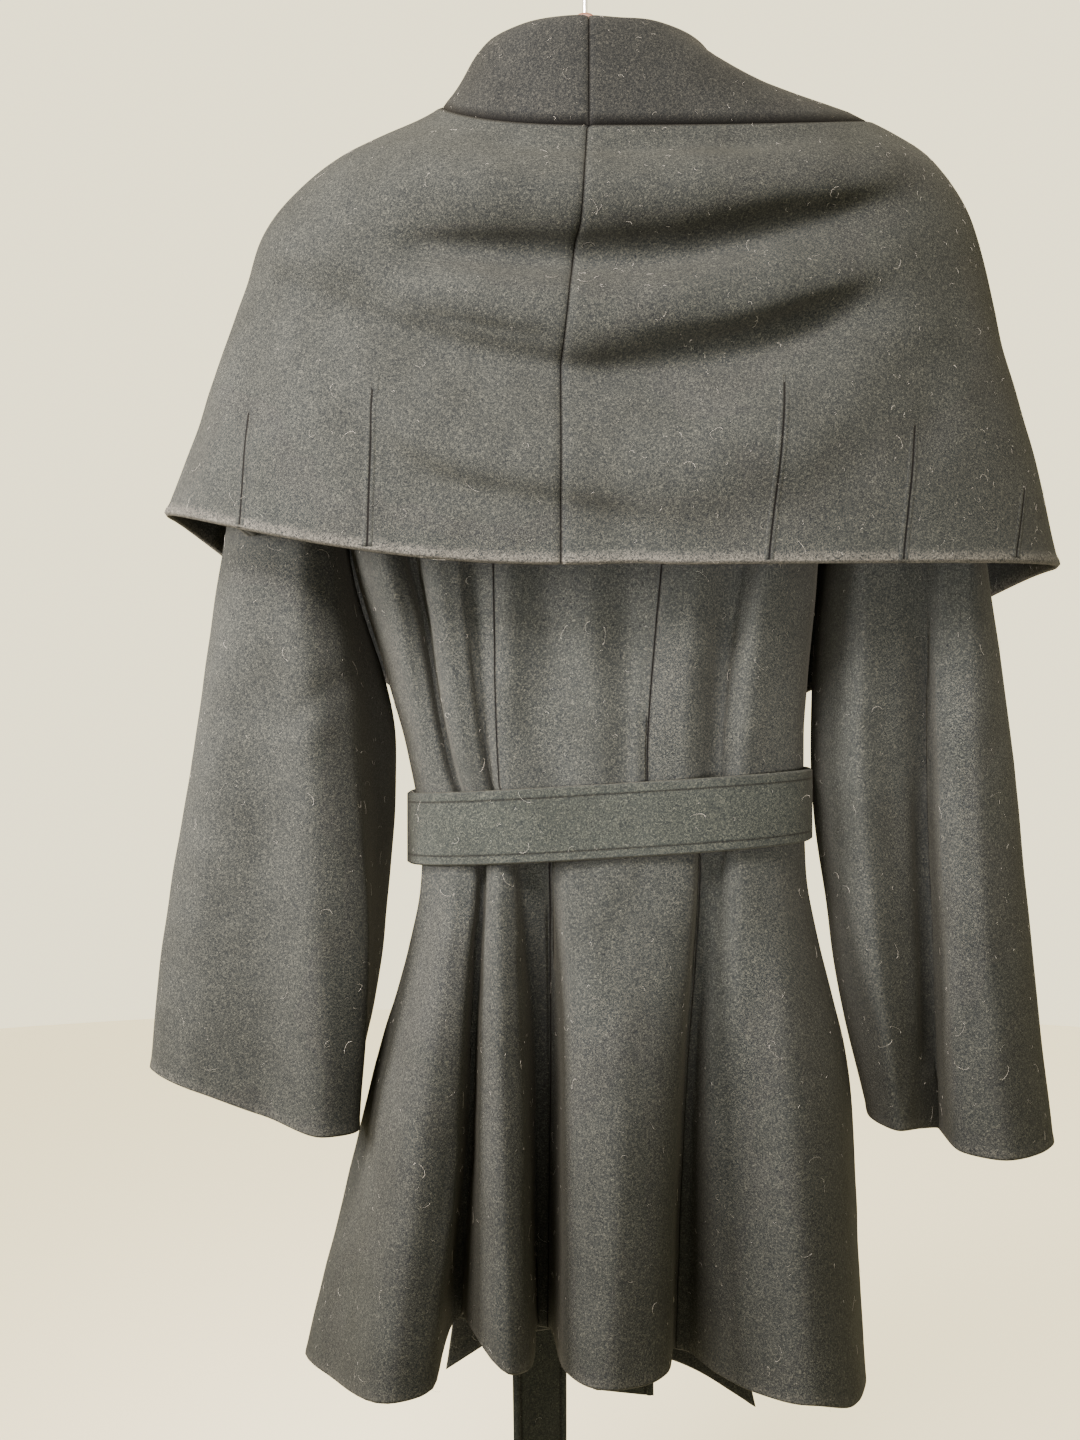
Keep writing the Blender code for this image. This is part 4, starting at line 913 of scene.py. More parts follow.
def finished(name, bm, material):
    """A smooth object of that mesh and material, linked to the scene."""
    mesh = bpy.data.meshes.new(name)
    bm.to_mesh(mesh)
    bm.free()
    mesh.shade_smooth()
    obj = bpy.data.objects.new(name, mesh)
    bpy.context.scene.collection.objects.link(obj)
    obj.data.materials.append(material)
    return obj


def dress(piece, node):
    """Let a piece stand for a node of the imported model."""
    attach(piece, "root")
    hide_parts(node)


def add_on(piece):
    """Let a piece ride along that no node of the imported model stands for."""
    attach(piece, "root")


def linear(text):
    """A linear colour from an sRGB hex value."""
    values = [int(text[i:i + 2], 16) / 255 for i in (1, 3, 5)]
    return tuple(v / 12.92 if v <= 0.04045 else ((v + 0.055) / 1.055) ** 2.4 for v in values)


def add(tree, kind, inputs=None, **settings):
    """Add a node with its settings, plain values and links."""
    node = tree.nodes.new(kind)
    for key, value in settings.items():
        setattr(node, key, value)
    for key, value in (inputs or {}).items():
        if isinstance(value, bpy.types.NodeSocket):
            tree.links.new(value, node.inputs[key])
        else:
            node.inputs[key].default_value = value
    return node


def new_material(name, **sockets):
    """A material with its Principled shader's plain values set."""
    material = bpy.data.materials.new(name)
    material.use_nodes = True
    tree = material.node_tree
    shader = tree.nodes["Principled BSDF"]
    for key, value in sockets.items():
        shader.inputs[key.replace("_", " ")].default_value = value
    return material, tree, shader


def ramp(tree, factor, stops):
    """Colour ramp over a factor."""
    made = add(tree, "ShaderNodeValToRGB", {"Fac": factor})
    elements = made.color_ramp.elements
    while len(elements) < len(stops):
        elements.new(0.5)
    for element, (place, colour) in zip(elements, stops):
        element.position = place
        element.color = (*colour, 1)
    return made.outputs["Color"]


def napped_wool(name, tint=(1, 1, 1)):
    """Melton wool coating, milled and brushed up: short fibres lie every way
    over the weave, so it is matt, grainy at one to two millimetres, paler where
    they catch the light and darker where they part, with a painted highlight
    along rolled and hemmed edges and painted shade in the grooves of seams."""
    settings = bpy.context.scene.coat_cloth
    material, tree, shader = new_material(
        name, Roughness=0.95, Specular_IOR_Level=0.02, Sheen_Weight=settings.sheen,
        Sheen_Roughness=0.55, Sheen_Tint=(*linear(NAP_SHEEN), 1))
    place = add(tree, "ShaderNodeTexCoord").outputs["Object"]
    fibre = 1 / settings.fibre
    grain = add(tree, "ShaderNodeTexNoise", {
        "Vector": place, "Scale": fibre, "Detail": 2.5, "Roughness": 0.62, "Distortion": 1.1})
    curl = add(tree, "ShaderNodeTexNoise", {
        "Vector": place, "Scale": fibre * 0.5, "Detail": 2.0, "Roughness": 0.6, "Distortion": 3.2})
    patch = add(tree, "ShaderNodeTexNoise", {
        "Vector": place, "Scale": 26.0, "Detail": 2.0, "Roughness": 0.5})
    mixed = add(tree, "ShaderNodeMath", {0: grain.outputs["Fac"], 1: curl.outputs["Fac"]},
                operation="ADD")
    level = add(tree, "ShaderNodeMath", {0: mixed.outputs[0], 1: 0.5}, operation="MULTIPLY")
    dark, mean, pale = [tuple(c * t for c, t in zip(linear(hex_colour), tint))
                        for hex_colour in (WOOL_DARK, WOOL_MEAN, WOOL_PALE)]
    colour = ramp(tree, level.outputs[0], [(0.34, dark), (0.50, mean), (0.70, pale)])
    # Painted highlight: paler fibres along rolled and hemmed edges
    rim_highlight_paint = add(tree, "ShaderNodeAttribute", attribute_name="rim").outputs["Fac"]
    tuft = add(tree, "ShaderNodeMapRange", {
        "Value": level.outputs[0], "From Min": 0.42, "From Max": 0.66, "To Min": 0.0, "To Max": 1.0})
    highlight_share = add(tree, "ShaderNodeMath", {0: rim_highlight_paint, 1: tuft.outputs["Result"]}, operation="MULTIPLY")
    rimmed = add(tree, "ShaderNodeMix", {
        "Factor": highlight_share.outputs[0], "A": colour, "B": (*linear(WOOL_RIM_HIGHLIGHT), 1)}, data_type="RGBA")
    tone = add(tree, "ShaderNodeMapRange", {
        "Value": patch.outputs["Fac"], "From Min": 0.3, "From Max": 0.7, "To Min": 0.9, "To Max": 1.1})
    shaded = add(tree, "ShaderNodeMix", {
        "Factor": 1.0, "A": rimmed.outputs["Result"], "B": tone.outputs["Result"]},
        data_type="RGBA", blend_type="MULTIPLY")
    # Painted shade: near black along seams and stitched grooves
    seam_shade_paint = add(tree, "ShaderNodeAttribute", attribute_name="seam").outputs["Fac"]
    groove_shade = add(tree, "ShaderNodeMix", {
        "Factor": seam_shade_paint, "A": shaded.outputs["Result"], "B": (*linear(SEAM_SHADE_BLACK), 1)},
        data_type="RGBA")
    tree.links.new(groove_shade.outputs["Result"], shader.inputs["Base Color"])
    bump = add(tree, "ShaderNodeBump", {
        "Height": level.outputs[0], "Strength": 0.5, "Distance": 0.8 * MM})
    tree.links.new(bump.outputs["Normal"], shader.inputs["Normal"])
    return material


def varnished_beech():
    """Steamed beech under a satin varnish, stained reddish brown: fine streaks
    along the arms, with a soft clear gloss."""
    material, tree, shader = new_material(
        "varnished_beech", Roughness=0.42, Coat_Weight=0.35, Coat_Roughness=0.25)
    place = add(tree, "ShaderNodeTexCoord").outputs["Object"]
    stretched = add(tree, "ShaderNodeMapping", {"Vector": place, "Scale": (18, 260, 420)})
    streak = add(tree, "ShaderNodeTexNoise", {
        "Vector": stretched.outputs["Vector"], "Scale": 1.0, "Detail": 4.0, "Distortion": 0.4})
    colour = ramp(tree, streak.outputs["Fac"], [(0.3, linear(BEECH_DARK)), (0.7, linear(BEECH_RED))])
    tree.links.new(colour, shader.inputs["Base Color"])
    bump = add(tree, "ShaderNodeBump", {
        "Height": streak.outputs["Fac"], "Strength": 0.15, "Distance": 0.2 * MM})
    tree.links.new(bump.outputs["Normal"], shader.inputs["Normal"])
    return material


def plated_wire():
    """Nickel-plated steel wire, drawn: bright, with faint lines round it."""
    material, tree, shader = new_material("plated_wire", Metallic=1.0)
    place = add(tree, "ShaderNodeTexCoord").outputs["Object"]
    lines = add(tree, "ShaderNodeTexNoise", {"Vector": place, "Scale": 900.0, "Detail": 2.0})
    colour = ramp(tree, lines.outputs["Fac"], [(0.3, linear(WIRE_DULL)), (0.7, linear(WIRE_BRIGHT))])
    tree.links.new(colour, shader.inputs["Base Color"])
    rough = add(tree, "ShaderNodeMapRange", {
        "Value": lines.outputs["Fac"], "To Min": 0.18, "To Max": 0.34})
    tree.links.new(rough.outputs["Result"], shader.inputs["Roughness"])
    return material


def plain_fibre(name, hex_colour, roughness=0.9):
    """Loose fibre or thread, too fine for any pattern but a change of tone."""
    material, tree, shader = new_material(name, Roughness=roughness, Specular_IOR_Level=0.2)
    place = add(tree, "ShaderNodeTexCoord").outputs["Object"]
    tone = add(tree, "ShaderNodeTexNoise", {"Vector": place, "Scale": 300.0})
    base = linear(hex_colour)
    colour = ramp(tree, tone.outputs["Fac"], [
        (0.35, tuple(c * 0.7 for c in base)), (0.65, tuple(min(c * 1.2, 1) for c in base))])
    tree.links.new(colour, shader.inputs["Base Color"])
    return material


class CoatCloth(bpy.types.PropertyGroup):
    """Sizes of the cloth's finish."""

    fibre: FloatProperty(
        name="Fibre", description="Size of the nap's grain", default=1.2 * MM, unit="LENGTH")
    sheen: FloatProperty(
        name="Sheen", description="How much the nap shines at grazing angles", default=0.025,
        min=0, max=1, subtype="FACTOR")


class CoatSewing(bpy.types.PropertyGroup):
    """Sizes of the stitching."""

    stitch: FloatProperty(
        name="Stitch", description="Length of one stitch", default=3.2 * MM, unit="LENGTH")
    thread: FloatProperty(
        name="Thread", description="Thickness of the thread", default=0.5 * MM, unit="LENGTH")
    inset: FloatProperty(
        name="Inset", description="Topstitching's distance from the belt's edge",
        default=5.2 * MM, unit="LENGTH")


class CoatLint(bpy.types.PropertyGroup):
    """How many loose hairs lie on the coat."""

    density: FloatProperty(
        name="Density", description="Long hairs on a square metre", default=360.0)
    length: FloatProperty(
        name="Length", description="Length of a long hair", default=14 * MM, unit="LENGTH")
    radius: FloatProperty(
        name="Radius", description="Radius of a hair, drawn twice as thick so that it shows",
        default=0.06 * MM, unit="LENGTH")
    seed: IntProperty(name="Seed", description="Start of the random places", default=4)


class CoatStage(bpy.types.PropertyGroup):
    """The studio."""

    key: FloatProperty(name="Key", description="Power of the window light", default=37.0, unit="POWER")
    world: FloatProperty(name="World", description="Strength of the pale surroundings", default=2.4)
    world_colour: FloatVectorProperty(
        name="Colour", description="Colour of the surroundings", default=linear(WORLD_CREAM),
        size=3, subtype="COLOR")


class COAT_OT_body(bpy.types.Operator):
    """Five panels of the coat's body"""

    bl_idname = "coat.body"
    bl_label = "Coat body"

    def execute(self, context):
        body, normals = the_body()
        wool = shared_material("napped_wool", napped_wool)
        for panel in PANELS:
            a, b = FOLD_AT[panel.first] * BODY_STEPS_ACROSS, FOLD_AT[panel.last] * BODY_STEPS_ACROSS
            edges = ("hidden", "hem", panel.left, panel.right)
            grid = with_edges(body[:, a:b + 1], edges)
            outward = with_edges(normals[:, a:b + 1], HIDDEN)
            piece = cloth(panel.name + "_cloth", grid, unit(outward), edges, wool)
            dress(piece, panel.name)
        return {"FINISHED"}


class COAT_OT_sleeves(bpy.types.Operator):
    """Two bell sleeves, set in"""

    bl_idname = "coat.sleeves"
    bl_label = "Sleeves"

    def execute(self, context):
        body, normals = the_body(plain=True)
        wool = shared_material("napped_wool", napped_wool)
        for side, creases in (("left", SLEEVE_LEFT), ("right", SLEEVE_RIGHT)):
            name = "sleeve_" + side
            grid = sleeve_grid(creases, body, normals, side)
            middle = grid.mean(axis=1, keepdims=True)
            grid = creased(name, grid, grid_normals(grid, wrap=True), middle)
            outward = grid_normals(grid, wrap=True)
            outward = outward * np.sign(np.sum(outward * (grid - middle)))
            piece = cloth(name + "_cloth", grid, outward, ("hidden", "hem", "", ""), wool, wrap=True)
            dress(piece, name)
        return {"FINISHED"}


class COAT_OT_collar(bpy.types.Operator):
    """The band and the cape of the collar"""

    bl_idname = "coat.collar"
    bl_label = "Collar"

    def execute(self, context):
        turns, grid, normals = the_collar()
        middle = COLLAR_STEPS_ROUND // 2
        right = int(np.argmin(np.abs(turns + BAND_END)))
        left = int(np.argmin(np.abs(turns - BAND_END)))
        last = COLLAR_STEPS_ROUND
        wool = shared_material("napped_wool", napped_wool)
        # The band's wool is a darker copy of the cape's: painted shade
        shaded_band_wool = shared_material("upward_wool", napped_wool, tint=(0.76, 0.74, 0.76))
        band, cape = grid[:BAND_STEPS + 1].copy(), grid[BAND_STEPS:].copy()
        band[-1] += unit(band[-2] - band[-1]) * DRAWN_IN
        cape[0] += unit(cape[1] - cape[0]) * DRAWN_IN
        pieces = [
            ("band_front_right", band, 0, right, ("hidden", "seam", "hem", "seam")),
            ("band_back_right", band, right, middle, ("hidden", "seam", "seam", "seam")),
            ("band_back_left", band, middle, left, ("hidden", "seam", "seam", "seam")),
            ("band_front_left", band, left, last, ("hidden", "seam", "seam", "hem")),
            ("cape_right", cape, 0, middle, ("seam", "roll", "hem", "seam")),
            ("cape_left", cape, middle, last, ("seam", "roll", "seam", "hem")),
        ]
        for name, rows, first, end, edges in pieces:
            outward = normals[:BAND_STEPS + 1] if rows is band else normals[BAND_STEPS:]
            points = with_edges(rows[:, first:end + 1], edges)
            outward = unit(with_edges(outward[:, first:end + 1], HIDDEN))
            piece = cloth(name + "_cloth", points, outward, edges, shaded_band_wool if rows is band else wool)
            dress(piece, name)
        return {"FINISHED"}


class COAT_OT_belt(bpy.types.Operator):
    """The belt round the waist, its half knot and its two ends"""

    bl_idname = "coat.belt"
    bl_label = "Belt"

    def execute(self, context):
        wool = shared_material("belt_wool", napped_wool, tint=(0.96, 1.0, 0.96))
        for name, path, across in belt_strips():
            grid, outward, relief, groove_shade = strip(path, across)
            piece = cloth(name + "_cloth", grid, outward, ("free", "free", "free", "free"), wool,
                          thickness=BELT_THICK, relief=relief, groove_shade=groove_shade)
            dress(piece, name)
        bm = ball(96, 64)
        centre_y = -(WAIST_FRONT_OVER + BELT_CLEAR) - BELT_THICK / 2 - SEAM_GAP - KNOT_DEPTH
        for vert in bm.verts:
            x, y, z = vert.co
            pinch = KNOT_FULL + KNOT_PINCH * math.cos(3 * math.atan2(z, x) + 0.6)
            square = 1 + KNOT_SQUARE * (1 - max(abs(x), abs(z)))
            lap = sum(height * math.exp(-((x * a + z * b - at) / width) ** 2)
                      for a, b, at, width, height in KNOT_LAPS)
            inward = 1 - lap * max(-y, 0) * 2
            vert.co = (
                KNOT_X + min(max(x * KNOT_HALF * square, -KNOT_HALF), KNOT_HALF),
                centre_y + min(y * KNOT_DEPTH * pinch * inward, KNOT_DEPTH),
                max(BELT_Z + z * KNOT_HALF * square + x * KNOT_SLANT, KNOT_FOOT),
            )
        knot = finished("belt_knot_cloth", bm, wool)
        dress(knot, "belt_knot")
        return {"FINISHED"}


class COAT_OT_hanger(bpy.types.Operator):
    """The wooden hanger and its wire hook"""

    bl_idname = "coat.hanger"
    bl_label = "Hanger"

    def execute(self, context):
        reach = np.linspace(-HANGER_TIP, HANGER_TIP, 121)
        drop = (CLOTH / 2 + SEAM_GAP) / SHOULDER_COSINE + HANGER_DROP
        centre = shoulder_height(HANGER_SADDLE) - drop
        top, bottom = [], []
        for x in reach:
            neck = math.exp(-(x / HANGER_NECK) ** 2) * (HANGER_TOP - centre)
            line = shoulder_height(max(abs(x), HANGER_SADDLE)) - drop + neck
            top.append((x, line - HANGER_ROUND))
            under = HANGER_UNDER_TIP + (HANGER_UNDER_MIDDLE - HANGER_UNDER_TIP) * (1 - (x / HANGER_TIP) ** 2)
            bottom.append((x, under + HANGER_ROUND))
        curve = bpy.data.curves.new("hanger_outline", "CURVE")
        curve.dimensions = "2D"
        curve.fill_mode = "BOTH"
        curve.extrude = HANGER_THICK / 2 - HANGER_ROUND
        curve.bevel_depth = HANGER_ROUND
        curve.bevel_resolution = 4
        add_line(curve, [(x, z, 0) for x, z in top + bottom[::-1]], cyclic=True)
        wood = from_curve("hanger_wood_body", curve, varnished_beech(), upright=True)
        dress(wood, "hanger_wood")

        hook = bpy.data.curves.new("hook_line", "CURVE")
        hook.dimensions = "3D"
        hook.bevel_depth = WIRE
        hook.bevel_resolution = 5
        hook.use_fill_caps = True
        radius = HOOK_INNER + WIRE
        points = [(0, HANGER_TOP + 2.6 * SEAM_GAP), (0, HANGER_TOP + HOOK_STEM)]
        for degrees in np.linspace(*HOOK_SWEEP, 16)[1:]:
            a = math.radians(degrees)
            points.append((radius * math.cos(a), -HOOK_INNER + radius * math.sin(a)))
        route = through([(x, 0, z) for x, z in points], np.linspace(0, len(points) - 1, 160))
        add_line(hook, route)
        wire = from_curve("hanger_hook_wire", hook, plated_wire())
        dress(wire, "hanger_hook")
        return {"FINISHED"}


class COAT_OT_sewing(bpy.types.Operator):
    """Dart seams of the cape and topstitching of the belt"""

    bl_idname = "coat.sewing"
    bl_label = "Seams and stitches"

    def execute(self, context):
        settings = context.scene.coat_sewing
        cape = surface_of(["cape_left_cloth", "cape_right_cloth"])
        wool = shared_material("napped_wool", napped_wool)
        for name, line in DARTS.items():
            seam_bead(name, cape, np.array(line) * MM, wool)
        thread = shared_material("wool_thread", plain_fibre, hex_colour=THREAD_BLACK)
        lines = []
        for name, path, across in belt_strips():
            if name == "belt_loop":
                outward = unit(path * [1, 1, 0] - [WAIST_X, 0, 0])
            else:
                outward = -unit(np.cross(np.gradient(path, axis=0), across))
            for side in (1, -1):
                edge = path + across * side * (BELT_WIDTH / 2 - settings.inset)
                lines.append(edge + outward * (BELT_THICK / 2 - 0.45 * MM))
        stitches = grown("belt_stitches", wire_mesh(lines), stitch_tree(), {
            "Stitch": settings.stitch, "Thread": settings.thread / 2, "Material": thread})
        add_on(stitches)
        return {"FINISHED"}


class COAT_OT_lint(bpy.types.Operator):
    """Loose hairs that cling to the wool"""

    bl_idname = "coat.lint"
    bl_label = "Loose hairs"

    def execute(self, context):
        settings = context.scene.coat_lint
        fibre = shared_material("lint_fibre", plain_fibre, hex_colour=LINT_GREY)
        pieces = [obj.name for obj in bpy.data.objects if obj.name.endswith("_cloth")]
        upper = [name for name in pieces if name.startswith("band") or name == "cape_right_cloth"]
        for name, places, times, share, steps in (
                ("long_hairs", pieces, 1, 1, 14),
                ("short_hairs", pieces, 3, 0.3, 6),
                ("collar_hairs", upper, 5, 0.4, 6)):
            hairs = grown(name, joined_mesh(places), hair_tree(), {
                "Density": settings.density * times, "Length": settings.length * share,
                "Radius": settings.radius, "Steps": steps,
                "Seed": settings.seed + len(name), "Material": fibre})
            add_on(hairs)
        return {"FINISHED"}


class COAT_OT_stage(bpy.types.Operator):
    """Pale floor, window light, soft fill and the camera"""

    bl_idname = "coat.stage"
    bl_label = "Stage"

    def execute(self, context):
        settings = context.scene.coat_stage
        world = bpy.data.worlds.new("pale_room")
        context.scene.world = world
        world.use_nodes = True
        background = world.node_tree.nodes["Background"]
        background.inputs["Color"].default_value = (*settings.world_colour, 1)
        background.inputs["Strength"].default_value = settings.world
        for name, place, target, size, share, spread in LIGHTS:
            area_light(name, place, target, size, settings.key * share, spread)
        bm = bmesh.new()
        bmesh.ops.create_circle(bm, cap_ends=True, segments=96, radius=FLOOR_RADIUS)
        bmesh.ops.translate(bm, verts=bm.verts, vec=(0, 0, FLOOR_Z))
        material, _, shader = new_material("painted_floor", Roughness=0.8)
        shader.inputs["Base Color"].default_value = (*linear(FLOOR_CREAM), 1)
        finished("floor", bm, material)
        camera = bpy.data.cameras.new("camera")
        camera.lens = CAMERA_LENS
        camera.sensor_width = CAMERA_SENSOR
        camera.clip_start = 0.01
        viewer = bpy.data.objects.new("camera", camera)
        viewer.location = CAMERA_PLACE
        viewer.rotation_euler = (math.pi / 2, 0, math.pi)
        context.scene.collection.objects.link(viewer)
        context.scene.camera = viewer
        return {"FINISHED"}


def area_light(name, place, target, size, power, spread):
    """A square soft light that faces a point, with its spread in degrees."""
    light = bpy.data.lights.new(name, "AREA")
    light.size = size
    light.spread = math.radians(spread)
    light.energy = power
    light.color = linear(WINDOW_CREAM)
    lamp = bpy.data.objects.new(name, light)
    lamp.location = place
    way = Vector(place) - Vector(target)
    lamp.rotation_mode = "QUATERNION"
    lamp.rotation_quaternion = way.to_track_quat("Z", "Y")
    bpy.context.scene.collection.objects.link(lamp)


def ball(segments, rings):
    """A ball of radius one, its points and faces in the same order each run."""
    bm = bmesh.new()
    around = np.linspace(0, 2 * math.pi, segments, endpoint=False)
    top = bm.verts.new((0, 0, 1))
    loops = []
    for angle in np.linspace(0, math.pi, rings + 1)[1:-1]:
        size, z = math.sin(angle), math.cos(angle)
        loops.append([bm.verts.new((size * math.cos(a), size * math.sin(a), z)) for a in around])
    bottom = bm.verts.new((0, 0, -1))
    for i in range(segments):
        j = (i + 1) % segments
        bm.faces.new((top, loops[0][i], loops[0][j]))
        for upper, lower in zip(loops[:-1], loops[1:]):
            bm.faces.new((upper[i], lower[i], lower[j], upper[j]))
        bm.faces.new((bottom, loops[-1][j], loops[-1][i]))
    return bm


def add_line(curve, points, cyclic=False):
    """A straight-edged spline through the points."""
    line = curve.splines.new("POLY")
    line.points.add(len(points) - 1)
    for point, place in zip(line.points, points):
        point.co = (*place, 1)
    line.use_cyclic_u = cyclic


def from_curve(name, curve, material, upright=False):
    """A curve made a plain mesh, with its caps joined to its sides."""
    guide = bpy.data.objects.new(name + "_guide", curve)
    bpy.context.scene.collection.objects.link(guide)
    graph = bpy.context.evaluated_depsgraph_get()
    bm = bmesh.new()
    bm.from_mesh(bpy.data.meshes.new_from_object(guide.evaluated_get(graph)))
    bpy.data.objects.remove(guide)
    if upright:
        for vert in bm.verts:
            x, y, z = vert.co
            vert.co = (x, -z, y)
    bmesh.ops.remove_doubles(bm, verts=bm.verts, dist=0.01 * MM)
    bmesh.ops.recalc_face_normals(bm, faces=bm.faces)
    piece = finished(name, bm, material)
    piece.data.set_sharp_from_angle(angle=math.radians(40))
    return piece


def joined_mesh(names):
    """One mesh of several pieces."""
    bm = bmesh.new()
    for name in names:
        bm.from_mesh(bpy.data.objects[name].data)
    mesh = bpy.data.meshes.new("joined")
    bm.to_mesh(mesh)
    bm.free()
    return mesh


def surface_of(names):
    """The pieces' surface, to lay things on."""
    bm = bmesh.new()
    bm.from_mesh(joined_mesh(names))
    tree = BVHTree.FromBMesh(bm)
    bm.free()
    return tree


def wire_mesh(lines):
    """A mesh of loose edges along each line of points."""
    mesh = bpy.data.meshes.new("wires")
    verts, edges = [], []
    for line in lines:
        start = len(verts)
        verts += [tuple(point) for point in line]
        edges += [(start + i, start + i + 1) for i in range(len(line) - 1)]
    mesh.from_pydata(verts, edges, [])
    return mesh


def grown(name, mesh, tree, values):
    """The plain mesh that a node tree grows on a mesh."""
    guide = bpy.data.objects.new(name + "_guide", mesh)
    bpy.context.scene.collection.objects.link(guide)
    modifier = guide.modifiers.new("grow", "NODES")
    modifier.node_group = tree
    for item in tree.interface.items_tree:
        if item.in_out == "INPUT" and item.name in values:
            modifier[item.identifier] = values[item.name]
    graph = bpy.context.evaluated_depsgraph_get()
    made = bpy.data.meshes.new_from_object(guide.evaluated_get(graph))
    made.name = name
    bpy.data.objects.remove(guide)
    piece = bpy.data.objects.new(name, made)
    bpy.context.scene.collection.objects.link(piece)
    return piece


def new_tree(name, inputs):
    """A geometry node tree with named inputs, and its input node."""
    tree = bpy.data.node_groups.new(name, "GeometryNodeTree")
    tree.interface.new_socket("Geometry", in_out="INPUT", socket_type="NodeSocketGeometry")
    for key, kind in inputs:
        tree.interface.new_socket(key, in_out="INPUT", socket_type="NodeSocket" + kind)
    tree.interface.new_socket("Geometry", in_out="OUTPUT", socket_type="NodeSocketGeometry")
    return tree, add(tree, "NodeGroupInput").outputs


def close_tree(tree, instances, material):
    """Realize the instances, give them their material and end the tree."""
    real = add(tree, "GeometryNodeRealizeInstances", {"Geometry": instances})
    shown = add(tree, "GeometryNodeSetMaterial", {
        "Geometry": real.outputs["Geometry"], "Material": material})
    add(tree, "NodeGroupOutput", {"Geometry": shown.outputs["Geometry"]})


def stitch_tree():
    """Stitches laid end to end along each line."""
    tree, given = new_tree("stitches", [("Stitch", "Float"), ("Thread", "Float"), ("Material", "Material")])
    line = add(tree, "GeometryNodeMeshToCurve", {"Mesh": given["Geometry"]})
    spaced = add(tree, "GeometryNodeResampleCurve", {
        "Curve": line.outputs["Curve"], "Length": given["Stitch"]}, mode="LENGTH")
    reach = add(tree, "ShaderNodeMath", {0: given["Stitch"], 1: 0.38}, operation="MULTIPLY")
    back = add(tree, "ShaderNodeMath", {0: reach.outputs[0], 1: -1.0}, operation="MULTIPLY")
    start = add(tree, "ShaderNodeCombineXYZ", {"X": back.outputs[0]})
    end = add(tree, "ShaderNodeCombineXYZ", {"X": reach.outputs[0]})
    one = add(tree, "GeometryNodeCurvePrimitiveLine", {
        "Start": start.outputs["Vector"], "End": end.outputs["Vector"]})
    round_ = add(tree, "GeometryNodeCurvePrimitiveCircle", {"Resolution": 5, "Radius": given["Thread"]})
    stitch = add(tree, "GeometryNodeCurveToMesh", {
        "Curve": one.outputs["Curve"], "Profile Curve": round_.outputs["Curve"], "Fill Caps": True})
    way = add(tree, "FunctionNodeAlignRotationToVector", {
        "Vector": add(tree, "GeometryNodeInputTangent").outputs["Tangent"]}, axis="X")
    placed = add(tree, "GeometryNodeInstanceOnPoints", {
        "Points": spaced.outputs["Curve"], "Instance": stitch.outputs["Mesh"],
        "Rotation": way.outputs["Rotation"]})
    close_tree(tree, placed.outputs["Instances"], given["Material"])
    return tree


def hair_tree():
    """Curled hairs strewn over a surface, each lying nearly flat on it."""
    tree, given = new_tree("hairs", [
        ("Density", "Float"), ("Length", "Float"), ("Radius", "Float"), ("Steps", "Int"),
        ("Seed", "Int"), ("Material", "Material")])
    points = add(tree, "GeometryNodeDistributePointsOnFaces", {
        "Mesh": given["Geometry"], "Density": given["Density"], "Seed": given["Seed"]})
    wide, tight, rise = [
        add(tree, "ShaderNodeMath", {0: given["Length"], 1: share}, operation="MULTIPLY").outputs[0]
        for share in (0.42, 0.16, 0.06)]
    curl = add(tree, "GeometryNodeCurveSpiral", {
        "Resolution": given["Steps"], "Rotations": 0.55, "Start Radius": tight,
        "End Radius": wide, "Height": rise})
    round_ = add(tree, "GeometryNodeCurvePrimitiveCircle", {"Resolution": 3, "Radius": given["Radius"]})
    hair = add(tree, "GeometryNodeCurveToMesh", {
        "Curve": curl.outputs["Curve"], "Profile Curve": round_.outputs["Curve"]})
    spin = add(tree, "FunctionNodeRandomValue", {
        0: (-0.12, -0.12, 0.0), 1: (0.12, 0.12, 6.28), "Seed": given["Seed"]}, data_type="FLOAT_VECTOR")
    turn = add(tree, "FunctionNodeEulerToRotation", {"Euler": spin.outputs[0]})
    lying = add(tree, "FunctionNodeRotateRotation", {
        "Rotation": points.outputs["Rotation"], "Rotate By": turn.outputs["Rotation"]},
        rotation_space="LOCAL")
    size = add(tree, "FunctionNodeRandomValue", {
        0: (0.4, 0.06, 1.0), 1: (1.4, 0.8, 1.0), "Seed": given["Seed"]}, data_type="FLOAT_VECTOR")
    placed = add(tree, "GeometryNodeInstanceOnPoints", {
        "Points": points.outputs["Points"], "Instance": hair.outputs["Mesh"],
        "Rotation": lying.outputs["Rotation"], "Scale": size.outputs[0]})
    close_tree(tree, placed.outputs["Instances"], given["Material"])
    return tree


